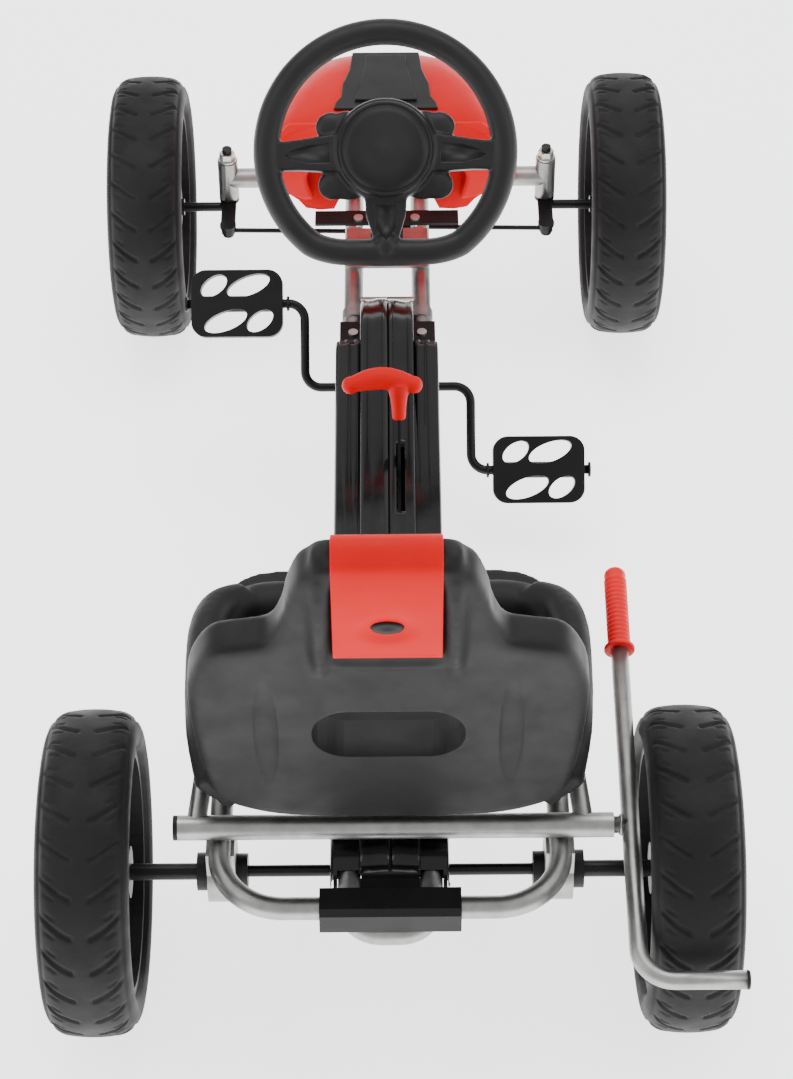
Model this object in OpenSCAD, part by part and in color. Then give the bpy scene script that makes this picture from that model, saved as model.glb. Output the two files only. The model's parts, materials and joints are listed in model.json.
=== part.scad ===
// Pedal go kart. Millimetres, +Y forward, +X to the driver's right, +Z up.
// The origin is on the ground, under the middle of the kart's bounding box.

/* [Overall] */
// Distance between the front and the rear axle
wheelbase = 946; // [860:1:1140]
// Distance between the middles of the left and right tyres
track = 524; // [505:1:640]
// Outer diameter of each tyre
wheel_d = 290; // [270:1:305]
// Width of each tyre
tyre_w = 81; // [68:1:84]

/* [Wheels] */
// Outer diameter of the rim, where the tyre sits
rim_d = 224; // [190:1:235]
// Length of the hub
hub_len = 62; // [50:1:64]
// Outer diameter of the hub
hub_d = 46; // [36:1:60]
// Diameter of the axle rods, front and rear
axle_d = 10.5; // [8:0.5:12]

/* [Frame] */
// Distance between the two main rails, centre to centre
rail_spacing = 72; // [70:1:84]
// Outer diameter of the main rails
rail_d = 20; // [18:0.5:22]
// Height of the main rails' centre line
rail_z = 168; // [166:1:180]
// Outer diameter of the seat loop tube
loop_d = 20; // [18:0.5:24]
// Distance between the sides of the seat loop, centre to centre
loop_spacing = 298; // [280:1:310]
// Bend radius of the seat loop's corners
loop_bend = 58; // [40:1:70]
// Outer diameter of the rear cross tube
cross_d = 22; // [20:0.5:26]
// Wall of the steel tubes
tube_wall = 1.6; // [1.2:0.1:2.4]
// Thickness of the flat steel straps
strap_t = 3; // [2:0.5:5]
// Outer diameter of the kingpin tubes
king_tube_d = 22; // [19:0.5:26]
// Length of the kingpin tubes
king_tube_len = 50; // [40:1:60]
// How far each kingpin stands inside the middle of its wheel
king_inset = 86; // [84:1:100]

/* [Drive] */
// Distance of the crank behind the front axle
crank_back = 304; // [280:1:340]
// Crank throw, from the crank axis to the pedal axis
crank_throw = 88; // [75:1:92]
// Diameter of the crank rod
crank_d = 9.5; // [8:0.5:12]
// Middle of each pedal, measured from the kart's middle plane
pedal_x = 157; // [150:1:170]
// Width of a pedal along its spindle
pedal_w = 97; // [80:1:105]
// Length of a pedal across its spindle
pedal_l = 70; // [55:1:80]
// Teeth on the chain ring
ring_teeth = 34; // [28:1:36]
// Teeth on the rear sprocket
sprocket_teeth = 16; // [14:1:18]
// Half width of the chain guard over the chain
guard_half = 25; // [22:0.5:25.5]
// Half width of the chain guard over the rails
guard_wide_half = 50; // [48:0.5:56]
// Wall of the chain guard
guard_wall = 2.5; // [2:0.1:3]

/* [Steering] */
// Outer diameter of the steering wheel
steer_d = 255; // [220:1:280]
// Thickness of the steering wheel's rim
steer_rim_d = 26; // [20:1:30]
// Distance of the steering wheel's centre behind the front axle
steer_back = 326; // [300:1:340]
// Height of the steering wheel's centre
steer_z = 470; // [455:1:500]
// Slope of the steering column from level, in degrees
column_slope = 45; // [43:1:48]
// Diameter of the steering column
column_d = 16; // [12:0.5:18]
// Length of the drop arm at the column's foot
drop_arm = 30; // [24:1:32]

/* [Brake] */
// Outer diameter of the brake lever tube
lever_d = 16; // [14:0.5:18]
// How far the brake bar reaches behind the rear tyre
bar_overhang = 19; // [17:0.5:24]
// Height of the brake bar above the rear axle
bar_rise = 45; // [35:1:55]
// Distance from the brake pivot forward to the end of the grip
lever_reach = 274; // [240:1:300]
// Length of the brake grip
grip_len = 92; // [80:1:110]

/* [Seat] */
// Width of the backrest
back_w = 330; // [290:2:340]
// Height of the backrest along its slope
back_h = 358; // [320:1:400]
// Lean of the backrest from upright, in degrees
back_lean = 7; // [4:1:10]
// Thickness of the backrest
back_t = 42; // [36:1:50]
// Width of the seat pan over its bolsters
pan_w = 360; // [340:2:380]
// Length of the seat pan in front of the backrest
pan_l = 285; // [250:1:320]
// Height of the seat pan's underside
pan_z = 235; // [232:1:245]
// Width of the red head panel
panel_w = 95; // [80:1:110]

/* [Front fairing] */
// Width of the fairing at its wing tips
fairing_w = 290; // [260:2:296]
// Height of the fairing's flat top
fairing_z = 332; // [326:1:345]
// Wall of the fairing
fairing_wall = 3; // [2.5:0.1:4]

/* [Fits] */
// Radial clearance of a shaft that turns in a bore
run_fit = 0.08; // [0.05:0.01:0.1]
// Gap between pieces that pass each other
pass_gap = 0.5; // [0.4:0.1:1]

/* [Hidden] */
$fn = 48;

// Places of the main axes
axle_z = wheel_d / 2;
rear_y = (bar_overhang - wheelbase) / 2;
front_y = rear_y + wheelbase;
wheel_x = track / 2;
king_x = wheel_x - king_inset;
rail_x = rail_spacing / 2;
loop_x = loop_spacing / 2;
strap_z = rail_z + rail_d / 2;
loop_z = strap_z + strap_t + loop_d / 2;
loop_back_y = rear_y - 78;
cross_y = rear_y - 5;
cross_z = loop_z + loop_d / 2 + cross_d / 2;
shell_d = 26;
crank_y = front_y - crank_back;
crank_z = rail_z - rail_d / 2 - shell_d / 2;

// Steering geometry: the column runs down and forward, the drop arm hangs square to it
steer_y = front_y - steer_back;
steer_centre = [0, steer_y, steer_z];
column_dir = [0, cos(column_slope), -sin(column_slope)];
drop_dir = [0, -sin(column_slope), -cos(column_slope)];
king_z = axle_z + 15;
arm_t = 4;
tie_d = 8;
tie_eye_t = 6;
tie_z = king_z - pass_gap - arm_t - 1.5 - tie_eye_t / 2;
column_len = (steer_z - drop_arm * cos(column_slope) - tie_z) / sin(column_slope);
column_foot = steer_centre + column_len * column_dir;
drop_tip = column_foot + drop_arm * drop_dir;
tie_y = drop_tip[1];
tie_pin_r = 3;
tie_eye_r = 7.8;

// Chain geometry
chain_pitch = 12.7;
chain_half = 4;
ring_r = chain_pitch / 2 / sin(180 / ring_teeth);
sprocket_r = chain_pitch / 2 / sin(180 / sprocket_teeth);
crank_pos = [crank_y, crank_z];
rear_pos = [rear_y, axle_z];

// Steel and plastic colours
silver = [0.66, 0.66, 0.64];
zinc = [0.8, 0.8, 0.78];
black = [0.1, 0.1, 0.105];
dark = [0.17, 0.17, 0.18];
red = [0.83, 0.05, 0.05];

// ---------- Helpers ----------

function unit(v) = v / norm(v);
function mirror_x(p) = [-p[0], p[1]];

// Cylinder from point a to point b
module rod(a, b, r) {
  d = b - a;
  tilt = acos(d[2] / norm(d));
  turn = atan2(d[1], d[0]);
  translate(a) rotate([0, tilt, turn]) cylinder(h = norm(d), r = r);
}

// Round bend of a rod at corner p, from direction d1 to direction d2
module elbow(p, d1, d2, bend, r) {
  half = acos(min(1, max(-1, d1 * d2))) / 2;
  centre = p + unit(d2 - d1) * bend / cos(half);
  ex = unit(p - d1 * bend * tan(half) - centre);
  ez = unit(cross(d1, d2));
  ey = cross(ez, ex);
  multmatrix([
    [ex[0], ey[0], ez[0], centre[0]],
    [ex[1], ey[1], ez[1], centre[1]],
    [ex[2], ey[2], ez[2], centre[2]],
    [0, 0, 0, 1]
  ])
    rotate_extrude(angle = 2 * half) translate([bend, 0]) circle(r = r);
}

// Rod through the points, with a round bend at each inner point
module bent_rod(points, r, bend) {
  last = len(points) - 1;
  dirs = [for (i = [0:last - 1]) unit(points[i + 1] - points[i])];
  cut = [for (i = [0:last])
    i == 0 || i == last ? 0 : bend * tan(acos(min(1, max(-1, dirs[i - 1] * dirs[i]))) / 2)];
  for (i = [0:last - 1])
    rod(points[i] + dirs[i] * cut[i], points[i + 1] - dirs[i] * cut[i + 1], r);
  for (i = [1:1:last - 1])
    elbow(points[i], dirs[i - 1], dirs[i], bend, r);
}

// Points of a path whose inner corners are rounded in steps
function rounded(points, bend, steps = 3) = [
  for (i = [0:len(points) - 1]) each
    i == 0 || i == len(points) - 1 ? [points[i]] :
    let (
      d1 = unit(points[i] - points[i - 1]),
      d2 = unit(points[i + 1] - points[i]),
      half = acos(min(1, max(-1, d1 * d2))) / 2,
      centre = points[i] + unit(d2 - d1) * bend / cos(half),
      ex = unit(points[i] - d1 * bend * tan(half) - centre)
    )
    [for (k = [0:steps]) let (a = 2 * half * k / steps) centre + bend * (cos(a) * ex + sin(a) * d1)]
];

// Rod through the points in straight stretches, with a ball at each inner point
module jointed_rod(points, r) {
  last = len(points) - 1;
  for (i = [0:last - 1]) rod(points[i], points[i + 1], r);
  for (i = [1:1:last - 1]) translate(points[i]) sphere(r = 1.18 * r);
}

// Outline in the Y-Z plane, given thickness from x0 to x1
module along_x(x0, x1) {
  translate([x0, 0, 0]) rotate([90, 0, 90]) linear_extrude(x1 - x0) children();
}

// Outline in the X-Z plane, given thickness from y0 to y1
module along_y(y0, y1) {
  translate([0, y1, 0]) rotate([90, 0, 0]) linear_extrude(y1 - y0) children();
}

// Cylinder along X from x0 to x1, at y and z
module pin_x(x0, x1, y, z, r) {
  translate([x0, y, z]) rotate([0, 90, 0]) cylinder(h = x1 - x0, r = r);
}

// Box between two opposite corners
module box(a, b) {
  translate(a) cube(b - a);
}

// Hexagon nut or bolt head standing on z = 0
module hex_head(across, h) {
  cylinder(h = h, r = across / 2 / cos(30), $fn = 6);
}

// Closed belt outline round the crank (radius a) and the rear axle (radius b)
module belt_outline(a, b) {
  d = rear_pos - crank_pos;
  u = unit(d);
  w = [-u[1], u[0]];
  s = (a - b) / norm(d);
  c = sqrt(1 - s * s);
  translate(crank_pos) circle(r = a, $fn = 96);
  translate(rear_pos) circle(r = b, $fn = 96);
  polygon([
    crank_pos + a * (s * u + c * w),
    rear_pos + b * (s * u + c * w),
    rear_pos + b * (s * u - c * w),
    crank_pos + a * (s * u - c * w)
  ]);
}

// The same belt's outline as points: an arc round the crank, then one round the rear axle
function belt_points(a, b, steps = 24) =
  let (
    d = rear_pos - crank_pos,
    lean = atan2(d[1], d[0]),
    open = acos((a - b) / norm(d))
  )
  concat(
    [for (i = [0:steps]) let (t = lean + open + (360 - 2 * open) * i / steps)
      crank_pos + a * [cos(t), sin(t)]],
    [for (i = [0:steps]) let (t = lean - open + 2 * open * i / steps)
      rear_pos + b * [cos(t), sin(t)]]
  );

// The kart's own left piece is the mirror image of its right piece
module on_side(side) {
  if (side > 0) children();
  else mirror([1, 0, 0]) children();
}

// ---------- Frame ----------

rail_end_y = loop_back_y - 10;
rail_path = [
  [-rail_x, front_y, rail_z], [-rail_x, rail_end_y, rail_z],
  [rail_x, rail_end_y, rail_z], [rail_x, front_y, rail_z]
];
collar_y = front_y - 220;
carrier_z = rail_z + rail_d / 2 + king_tube_d / 2 - 4;

module main_frame() {
  color(silver) difference() {
    union() {
      bent_rod(rail_path, rail_d / 2, rail_x - 8);
      for (x = [-rail_x, rail_x]) rod([x, collar_y - 8, rail_z], [x, collar_y + 8, rail_z], rail_d / 2 + 2);
      pin_x(-rail_x, rail_x, collar_y + 24, rail_z, 7);
    }
    bent_rod(rail_path, rail_d / 2 - tube_wall, rail_x - 8);
    front_carrier_space();
  }
}

// Space of the front carrier tube, cut out of the rails' ends
module front_carrier_space() {
  pin_x(-track, track, front_y, carrier_z, king_tube_d / 2);
  box([-track, front_y, rail_z - rail_d], [track, front_y + rail_d, rail_z + rail_d]);
}

module front_carrier() {
  color(silver) difference() {
    union() {
      pin_x(-king_x, king_x, front_y, carrier_z, king_tube_d / 2);
      for (x = [-king_x, king_x]) translate([x, front_y, king_z])
        cylinder(h = king_tube_len, r = king_tube_d / 2);
    }
    pin_x(-king_x + king_tube_d / 2 + 3, king_x - king_tube_d / 2 - 3, front_y, carrier_z,
      king_tube_d / 2 - tube_wall);
    for (x = [-king_x, king_x]) translate([x, front_y, king_z - 1])
      cylinder(h = king_tube_len + 2, r = axle_d / 2 + run_fit);
  }
}

// Steering stand: a base plate on the rails, two cheeks and the column's sleeve
sleeve_from = 255;
sleeve_to = 345;
sleeve_r = column_d / 2 + 4;
stand_y0 = front_y - 150;
stand_y1 = front_y - 85;
cheek_x = sleeve_r + strap_t - 1;

module steering_stand() {
  a = steer_centre + sleeve_from * column_dir;
  b = steer_centre + sleeve_to * column_dir;
  color(silver) difference() {
    union() {
      box([-rail_x - 8, stand_y0, strap_z], [rail_x + 8, stand_y1, strap_z + strap_t]);
      for (x = [-cheek_x, cheek_x - strap_t]) along_x(x, x + strap_t) polygon([
        [stand_y0 + 4, strap_z + strap_t], [stand_y0 + 4, bracket_z],
        [a[1], a[2]], [b[1], b[2]], [stand_y1 - 2, strap_z + strap_t]
      ]);
      rod(a, b, sleeve_r);
    }
    rod(a - column_dir, b + column_dir, column_d / 2 + run_fit);
  }
}

// Fairing bracket: a black cross bar on the stand, under the fairing's legs
bracket_z = 243;
bracket_half = 76;
bracket_y = stand_y0 + 6;

module fairing_bracket() {
  color(black) difference() {
    union() {
      box([-bracket_half, bracket_y - 14, bracket_z], [bracket_half, bracket_y + 8, bracket_z + strap_t]);
      for (s = [-1, 1]) box(
        [s * (cheek_x + strap_t / 2) - strap_t / 2, bracket_y - 2, strap_z + strap_t],
        [s * (cheek_x + strap_t / 2) + strap_t / 2, bracket_y + 8, bracket_z]);
    }
    for (s = [-1, 1]) translate([s * 30, bracket_y - 6, bracket_z - 1]) cylinder(h = strap_t + 2, r = 2.5);
    box([-cheek_x, stand_y0 + 4, bracket_z - 1], [cheek_x, bracket_y + 9, bracket_z + strap_t + 1]);
  }
}

module frame_screws() {
  color(zinc) for (s = [-1, 1]) translate([s * 30, bracket_y - 6, bracket_z]) {
    translate([0, 0, -6]) cylinder(h = 6 + strap_t, r = 2.5);
    translate([0, 0, strap_t]) cylinder(h = 2.5, r = 5);
  }
  color(zinc) for (s = [-1, 1]) translate([s * rail_x, crank_y + 44, strap_z]) {
    cylinder(h = strap_t, r = 2.5);
    translate([0, 0, strap_t]) cylinder(h = 2.5, r = 5);
  }
}

module crank_shell(side) {
  x0 = rail_x - rail_d / 2;
  color(silver) on_side(side) difference() {
    union() {
      pin_x(x0, x0 + rail_d, crank_y, crank_z, shell_d / 2);
      box([x0 + 2, crank_y - 6, crank_z], [x0 + rail_d - 2, crank_y + 6, rail_z - rail_d / 4]);
    }
    rod([rail_x, crank_y - 30, rail_z], [rail_x, crank_y + 30, rail_z], rail_d / 2);
    pin_x(x0 - 1, x0 + rail_d + 1, crank_y, crank_z, crank_d / 2 + run_fit);
  }
}

// Flat strap between the rails and the seat loop
strap_y = rear_y + 215;

module seat_strap() {
  color(silver) difference() {
    box([-loop_x - 10, strap_y - 15, strap_z], [loop_x + 10, strap_y + 15, strap_z + strap_t]);
    for (x = [-loop_x, -rail_x, rail_x, loop_x]) translate([x, strap_y, strap_z - 1])
      cylinder(h = strap_t + 2, r = 3);
  }
}

module seat_bracket(side) {
  foot_z = loop_z + loop_d / 2;
  color(silver) on_side(side) difference() {
    along_y(strap_y - 15, strap_y + 15) polygon([
      [loop_x - 12, foot_z], [loop_x + 12, foot_z], [loop_x + 12, pan_z], [loop_x - 30, pan_z],
      [loop_x - 30, pan_z - strap_t], [loop_x + 12 - strap_t, pan_z - strap_t],
      [loop_x + 12 - strap_t, foot_z + strap_t], [loop_x - 12, foot_z + strap_t]
    ]);
    translate([loop_x - 20, strap_y, pan_z - strap_t - 1]) cylinder(h = strap_t + 2, r = 3);
  }
}

loop_front_y = strap_y + 25;
loop_path = [
  [-loop_x, loop_front_y, loop_z], [-loop_x, loop_back_y, loop_z],
  [loop_x, loop_back_y, loop_z], [loop_x, loop_front_y, loop_z]
];

module seat_loop() {
  color(silver) difference() {
    bent_rod(loop_path, loop_d / 2, loop_bend);
    bent_rod(concat([loop_path[0] + [0, 1, 0]], [loop_path[1], loop_path[2]],
      [loop_path[3] + [0, 1, 0]]), loop_d / 2 - tube_wall, loop_bend);
  }
}

clamp_half = 61;
clamp_bolt_x = 53;

module rear_clamp() {
  color(black) difference() {
    union() {
      along_x(-clamp_half, clamp_half) polygon([
        [loop_back_y - 16, strap_z], [loop_back_y + 20, strap_z], [loop_back_y + 20, strap_z + 14],
        [loop_back_y + 12, loop_z + loop_d / 2 + strap_t], [loop_back_y - 11, loop_z + loop_d / 2 + strap_t],
        [loop_back_y - 16, loop_z + loop_d / 2 - 2]
      ]);
      box([-26, loop_back_y + 20, strap_z], [26, loop_back_y + 30, strap_z + 16]);
    }
    pin_x(-clamp_half - 1, clamp_half + 1, loop_back_y, loop_z, loop_d / 2);
    box([-clamp_half - 1, loop_back_y - 3, strap_z - 1], [clamp_half + 1, loop_back_y + 3, loop_z]);
    for (s = [-1, 1]) translate([s * clamp_bolt_x, loop_back_y + 16, strap_z - 1]) cylinder(h = 40, r = 3);
  }
}

module clamp_bolts() {
  color(zinc) for (s = [-1, 1]) translate([s * clamp_bolt_x, loop_back_y + 16, strap_z]) {
    translate([0, 0, -12]) cylinder(h = 12 + 14, r = 3);
    translate([0, 0, -6]) hex_head(11, 6);
  }
}

tube_left = -185;
tube_right = king_x + 19;
pivot_r = lever_d / 2 - 0.6;
pivot_from = 120;

module cross_tube() {
  color(silver) difference() {
    pin_x(tube_left, tube_right, cross_y, cross_z, cross_d / 2);
    pin_x(tube_left - 1, pivot_from - 30, cross_y, cross_z, cross_d / 2 - tube_wall);
    pin_x(pivot_from - 31, tube_right + 1, cross_y, cross_z, pivot_r + run_fit);
  }
}

module cross_tube_plug() {
  color(black) {
    pin_x(tube_left - 4, tube_left, cross_y, cross_z, cross_d / 2);
    pin_x(tube_left, tube_left + 12, cross_y, cross_z, cross_d / 2 - tube_wall);
  }
}

module seat_brace(side) {
  top = [loop_x + 14, cross_y + 44, pan_z - 3];
  color(silver) on_side(side) {
    difference() {
      union() {
        rod([loop_x + 20, cross_y + 4, cross_z + 2], top, 8.5);
        box(top + [-16, -12, 0], top + [8, 14, 3]);
      }
      pin_x(0, track, cross_y, cross_z, cross_d / 2);
      box([0, cross_y - 20, pan_z], [track, cross_y + 80, pan_z + 30]);
    }
  }
}

// Rear axle bearings, under the sides of the seat loop
housing_half = 12.5;
housing_r = 27;
bush_r = 14;

module bearing_housing(side) {
  color(silver) on_side(side) difference() {
    union() {
      pin_x(loop_x - housing_half, loop_x + housing_half, rear_y, axle_z, housing_r);
      box([loop_x - housing_half, rear_y - 20, axle_z], [loop_x + housing_half, rear_y + 20, loop_z]);
    }
    pin_x(0, track, rear_y, axle_z, bush_r);
    rod([loop_x, rear_y - 60, loop_z], [loop_x, rear_y + 60, loop_z], loop_d / 2);
  }
}

module axle_bush(side) {
  color(black) on_side(side) difference() {
    union() {
      pin_x(loop_x - housing_half - 10, loop_x + housing_half + 10, rear_y, axle_z, bush_r);
      pin_x(loop_x + housing_half, loop_x + housing_half + 10, rear_y, axle_z, bush_r + 3);
      pin_x(loop_x - housing_half - 10, loop_x - housing_half, rear_y, axle_z, bush_r + 2);
    }
    pin_x(0, track, rear_y, axle_z, axle_d / 2 + run_fit);
  }
}

// ---------- Seat ----------

back_y = rear_y - 16.5;
back_z = pan_z - 5;
head_z = 247;

// Places a shape built in the backrest's own frame: y is its thickness, z runs up its slope
module on_back() {
  translate([0, back_y, back_z]) rotate([back_lean, 0, 0]) children();
}

module back_outline() {
  w = back_w / 2;
  shoulder = back_h - 102;
  side = [[0, 0], [w - 65, 5], [w - 15, 31], [w - 3, 100], [w, 190], [w - 8, shoulder - 30],
    [w - 27, shoulder - 4], [w - 55, shoulder], [w - 80, shoulder + 13], [w - 88, shoulder + 45],
    [w - 96, back_h - 22], [w - 108, back_h - 4], [w - 122, back_h], [0, back_h]];
  polygon(concat(side, [for (i = [len(side) - 2:-1:1]) mirror_x(side[i])]));
}

slot_z = 133;
slot_half = 60;

module seat_shell() {
  panel_r = panel_w / 2;
  color(dark) {
    on_back() difference() {
      along_y(0, back_t) back_outline();
      box([-slot_half, -1, slot_z - 32], [slot_half, back_t + 1, slot_z + 32]);
      box([-panel_r, -1, head_z], [panel_r, back_t + 1, back_h + 10]);
    }
    on_back() intersection() {
      along_y(4, back_t - 4) back_outline();
      box([-panel_r, 0, head_z], [panel_r, back_t, back_h - 4]);
    }
    difference() {
      union() {
        box([-loop_x - 8, back_y + 30, pan_z], [loop_x + 8, back_y + pan_l, pan_z + 18]);
        for (s = [-1, 1]) hull() {
          translate([s * (pan_w / 2 - 9), back_y + 28, pan_z + 56]) sphere(r = 9, $fn = 24);
          translate([s * (pan_w / 2 - 9), back_y + 215, pan_z + 50]) sphere(r = 9, $fn = 24);
          translate([s * (pan_w / 2 - 30), back_y + 250, pan_z + 8]) sphere(r = 8, $fn = 24);
          translate([s * (pan_w / 2 - 30), back_y + 30, pan_z + 8]) sphere(r = 8, $fn = 24);
        }
      }
      on_back() box([-pan_w, -60, -40], [pan_w, back_t - 0.01, back_h]);
    }
  }
}

module head_panel() {
  panel_r = panel_w / 2;
  color(red) on_back() difference() {
    box([-panel_r, 0, head_z], [panel_r, back_t, back_h]);
    box([-panel_r - 1, 4, head_z - 1], [panel_r + 1, back_t - 4, back_h - 4]);
  }
}

module panel_plug() {
  color(black) on_back() translate([0, 0, back_h - 75]) rotate([90, 0, 0]) cylinder(h = 2, r = 9);
}

// ---------- Chain guard ----------

guard_nose_r = 89;
guard_tail_r = 45;
lever_x = 11;
lever_w = 3;
gear_y = front_y - 520;
gear_z = rail_z;
gear_rest = 22.4;
gear_throw = 40;

module guard_half_shell(side) {
  shoulder_y = crank_y - 20;
  color(black) difference() {
    on_side(side) difference() {
      union() {
        along_x(0, guard_half) belt_outline(guard_nose_r, guard_tail_r);
        along_x(guard_half - 1, guard_wide_half) intersection() {
          belt_outline(guard_nose_r - 10, guard_tail_r - 2);
          guard_side_window(shoulder_y, rail_z - rail_d / 2 - 2);
        }
      }
      along_x(-1, guard_half - guard_wall) belt_outline(guard_nose_r - guard_wall, guard_tail_r - guard_wall);
      along_x(guard_half - guard_wall - 1, guard_wide_half - guard_wall) intersection() {
        belt_outline(guard_nose_r - 10 - guard_wall, guard_tail_r - 2 - guard_wall);
        guard_side_window(shoulder_y + 1, 0);
      }
      pin_x(0, track, crank_y, crank_z, shell_d / 2 + 1);
      pin_x(0, track, rear_y, axle_z, axle_d / 2 + 3);
      box([0, strap_y - 17, strap_z - 1], [track, strap_y + 17, strap_z + strap_t + 1]);
      box([rail_x - rail_d / 2 - 0.5, -track * 2, rail_z - rail_d / 2 - 0.5],
        [rail_x + rail_d / 2 + 0.5, rear_y + 10, rail_z + rail_d / 2 + 0.5]);
      box([rail_x - rail_d / 2 - 2.5, collar_y - 9, rail_z - rail_d / 2 - 2.5],
        [rail_x, collar_y + 9, rail_z + rail_d / 2 + 2.5]);
    }
    if (side > 0)
      box([lever_x - 3, gear_y - 46, gear_z + 20], [lever_x + 5.5, gear_y + 44, gear_z + 100]);
  }
}

// Part of the side view behind the shoulder line and above the bottom line
module guard_side_window(y_front, z_low) {
  translate([rear_y - 100, z_low]) square([y_front - rear_y + 100, 400]);
}

module guard_plate() {
  y = crank_y + 25;
  color(black) difference() {
    box([-guard_wide_half, y, strap_z], [guard_wide_half, y + 38, strap_z + strap_t]);
    box([-guard_half - 1, y - 1, strap_z - 1], [guard_half + 1, y + 39, strap_z + strap_t + 1]);
    for (s = [-1, 1]) translate([s * rail_x, y + 19, strap_z - 1]) cylinder(h = strap_t + 2, r = 2.5);
  }
}

module gear_pivot() {
  color(zinc) difference() {
    union() {
      pin_x(lever_x - lever_w / 2 - 2.5, rail_x, gear_y, gear_z, 4);
      pin_x(lever_x - lever_w / 2 - 2.5, lever_x - lever_w / 2 - 0.5, gear_y, gear_z, 6);
    }
    rod([rail_x, gear_y - 20, gear_z], [rail_x, gear_y + 20, gear_z], rail_d / 2);
  }
}

// Shape standing on the gear pivot, its +Z along the lever at rest
module on_gear() {
  translate([lever_x, gear_y, gear_z]) rotate([-gear_rest, 0, 0]) children();
}

gear_len = 143;

module gear_lever() {
  color(black) on_gear() difference() {
    union() {
      pin_x(-lever_w / 2, lever_w / 2, 0, 0, 9);
      box([-lever_w / 2, -6, 0], [lever_w / 2, 6, gear_len - 14]);
    }
    pin_x(-lever_w, lever_w, 0, 0, 4 + run_fit);
  }
}

module gear_handle() {
  color(red) on_gear() difference() {
    union() {
      box([-5, -9, gear_len - 42], [5, 9, gear_len - 4]);
      hull() {
        for (x = [-47, 15]) translate([x, 0, gear_len - 8]) sphere(r = 8, $fn = 24);
        for (x = [-30, 0]) translate([x, 0, gear_len]) sphere(r = 9, $fn = 24);
      }
    }
    box([-lever_w / 2, -6, 0], [lever_w / 2, 6, gear_len - 14]);
  }
}

module chain() {
  color(silver) along_x(-chain_half, chain_half) difference() {
    polygon(belt_points(ring_r + 4, sprocket_r + 4));
    polygon(belt_points(ring_r - 3.7, sprocket_r - 3.7));
  }
}

// Toothed wheel on the crank or the axle
module toothed(teeth, r, centre, bore, half) {
  tip = r - 4.4;
  pin_x_disc(tip, teeth, centre, bore, half);
}

module pin_x_disc(tip, teeth, centre, bore, half) {
  translate([0, centre[0], centre[1]]) difference() {
    union() {
      pin_x(-1.5, 1.5, 0, 0, tip);
      pin_x(-half, half, 0, 0, bore + 7);
    }
    pin_x(-half - 1, half + 1, 0, 0, bore);
    for (i = [0:teeth - 1]) rotate([i * 360 / teeth, 0, 0]) pin_x(-3, 3, tip, 0, 2.2);
    if (teeth > 20) for (i = [0:4]) rotate([i * 72, 0, 0]) pin_x(-3, 3, tip * 0.58, 0, tip * 0.19);
  }
}

module chain_ring() {
  color(dark) toothed(ring_teeth, ring_r, crank_pos, crank_d / 2, 8);
}

module rear_sprocket() {
  color(dark) toothed(sprocket_teeth, sprocket_r, rear_pos, axle_d / 2, 12);
}

// ---------- Front fairing ----------

hood_back = front_y - 135;

// Solid hood body, drawn in by the given inset
module hood_body(inset) {
  w = fairing_w / 2;
  r = 9;
  hull() for (s = [-1, 1]) {
    translate([s * (w - 49), hood_back + 42, fairing_z - r]) sphere(r = r - inset, $fn = 20);
    translate([s * (w - r), hood_back + 26, fairing_z - 48]) sphere(r = r - inset, $fn = 20);
    translate([s * (w - 66), hood_back + 10, bracket_z - 4]) sphere(r = r - inset, $fn = 20);
    translate([s * (w - 76), hood_back + 160, fairing_z - 12]) sphere(r = r - inset, $fn = 20);
    translate([s * (w - 60), hood_back + 225, fairing_z - 80]) sphere(r = r - inset, $fn = 20);
    translate([s * (w - 66), hood_back + 235, bracket_z - 20]) sphere(r = r - inset, $fn = 20);
  }
}

module fairing() {
  w = fairing_w / 2;
  floor_z = bracket_z + strap_t;
  color(red) difference() {
    hood_body(0);
    hood_body(fairing_wall);
    box([-w, hood_back - 20, 0], [w, front_y + 140, floor_z]);
    box([-48, hood_back - 20, 0], [48, hood_back + 60, floor_z + 32]);
    box([-sleeve_r - 3, hood_back - 20, 0], [sleeve_r + 3, hood_back + 60, floor_z + 56]);
    for (s = [-1, 1]) box([s * (w - 32) - 33, hood_back - 20, 0], [s * (w - 32) + 33, hood_back + 60, floor_z + 14]);
  }
}

module hood_insert() {
  back = hood_back + 70;
  color(black) translate([0, 0, fairing_z]) linear_extrude(2.5) polygon([
    [-56, back], [56, back], [50, back + 30], [39, back + 84], [-39, back + 84], [-50, back + 30]
  ]);
}

// ---------- Steering ----------

// Steering wheel frame: its +Z is the column's axis towards the driver
module on_wheel() {
  translate(steer_centre) rotate([90 - column_slope, 0, 0]) children();
}

stud_r = 3;

module steering_column() {
  color(black) {
    rod(steer_centre - column_dir * 2, column_foot + column_dir, column_d / 2);
    translate(column_foot) rotate([90 - column_slope, 0, 0])
      translate([-3, -drop_arm - 1, -3]) cube([6, drop_arm + 4, 4]);
    translate(drop_tip + [0, 0, -9]) cylinder(h = 16, r = stud_r);
  }
}

rim_mid_r = (steer_d - steer_rim_d) / 2;
flat_drop = 96;

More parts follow.
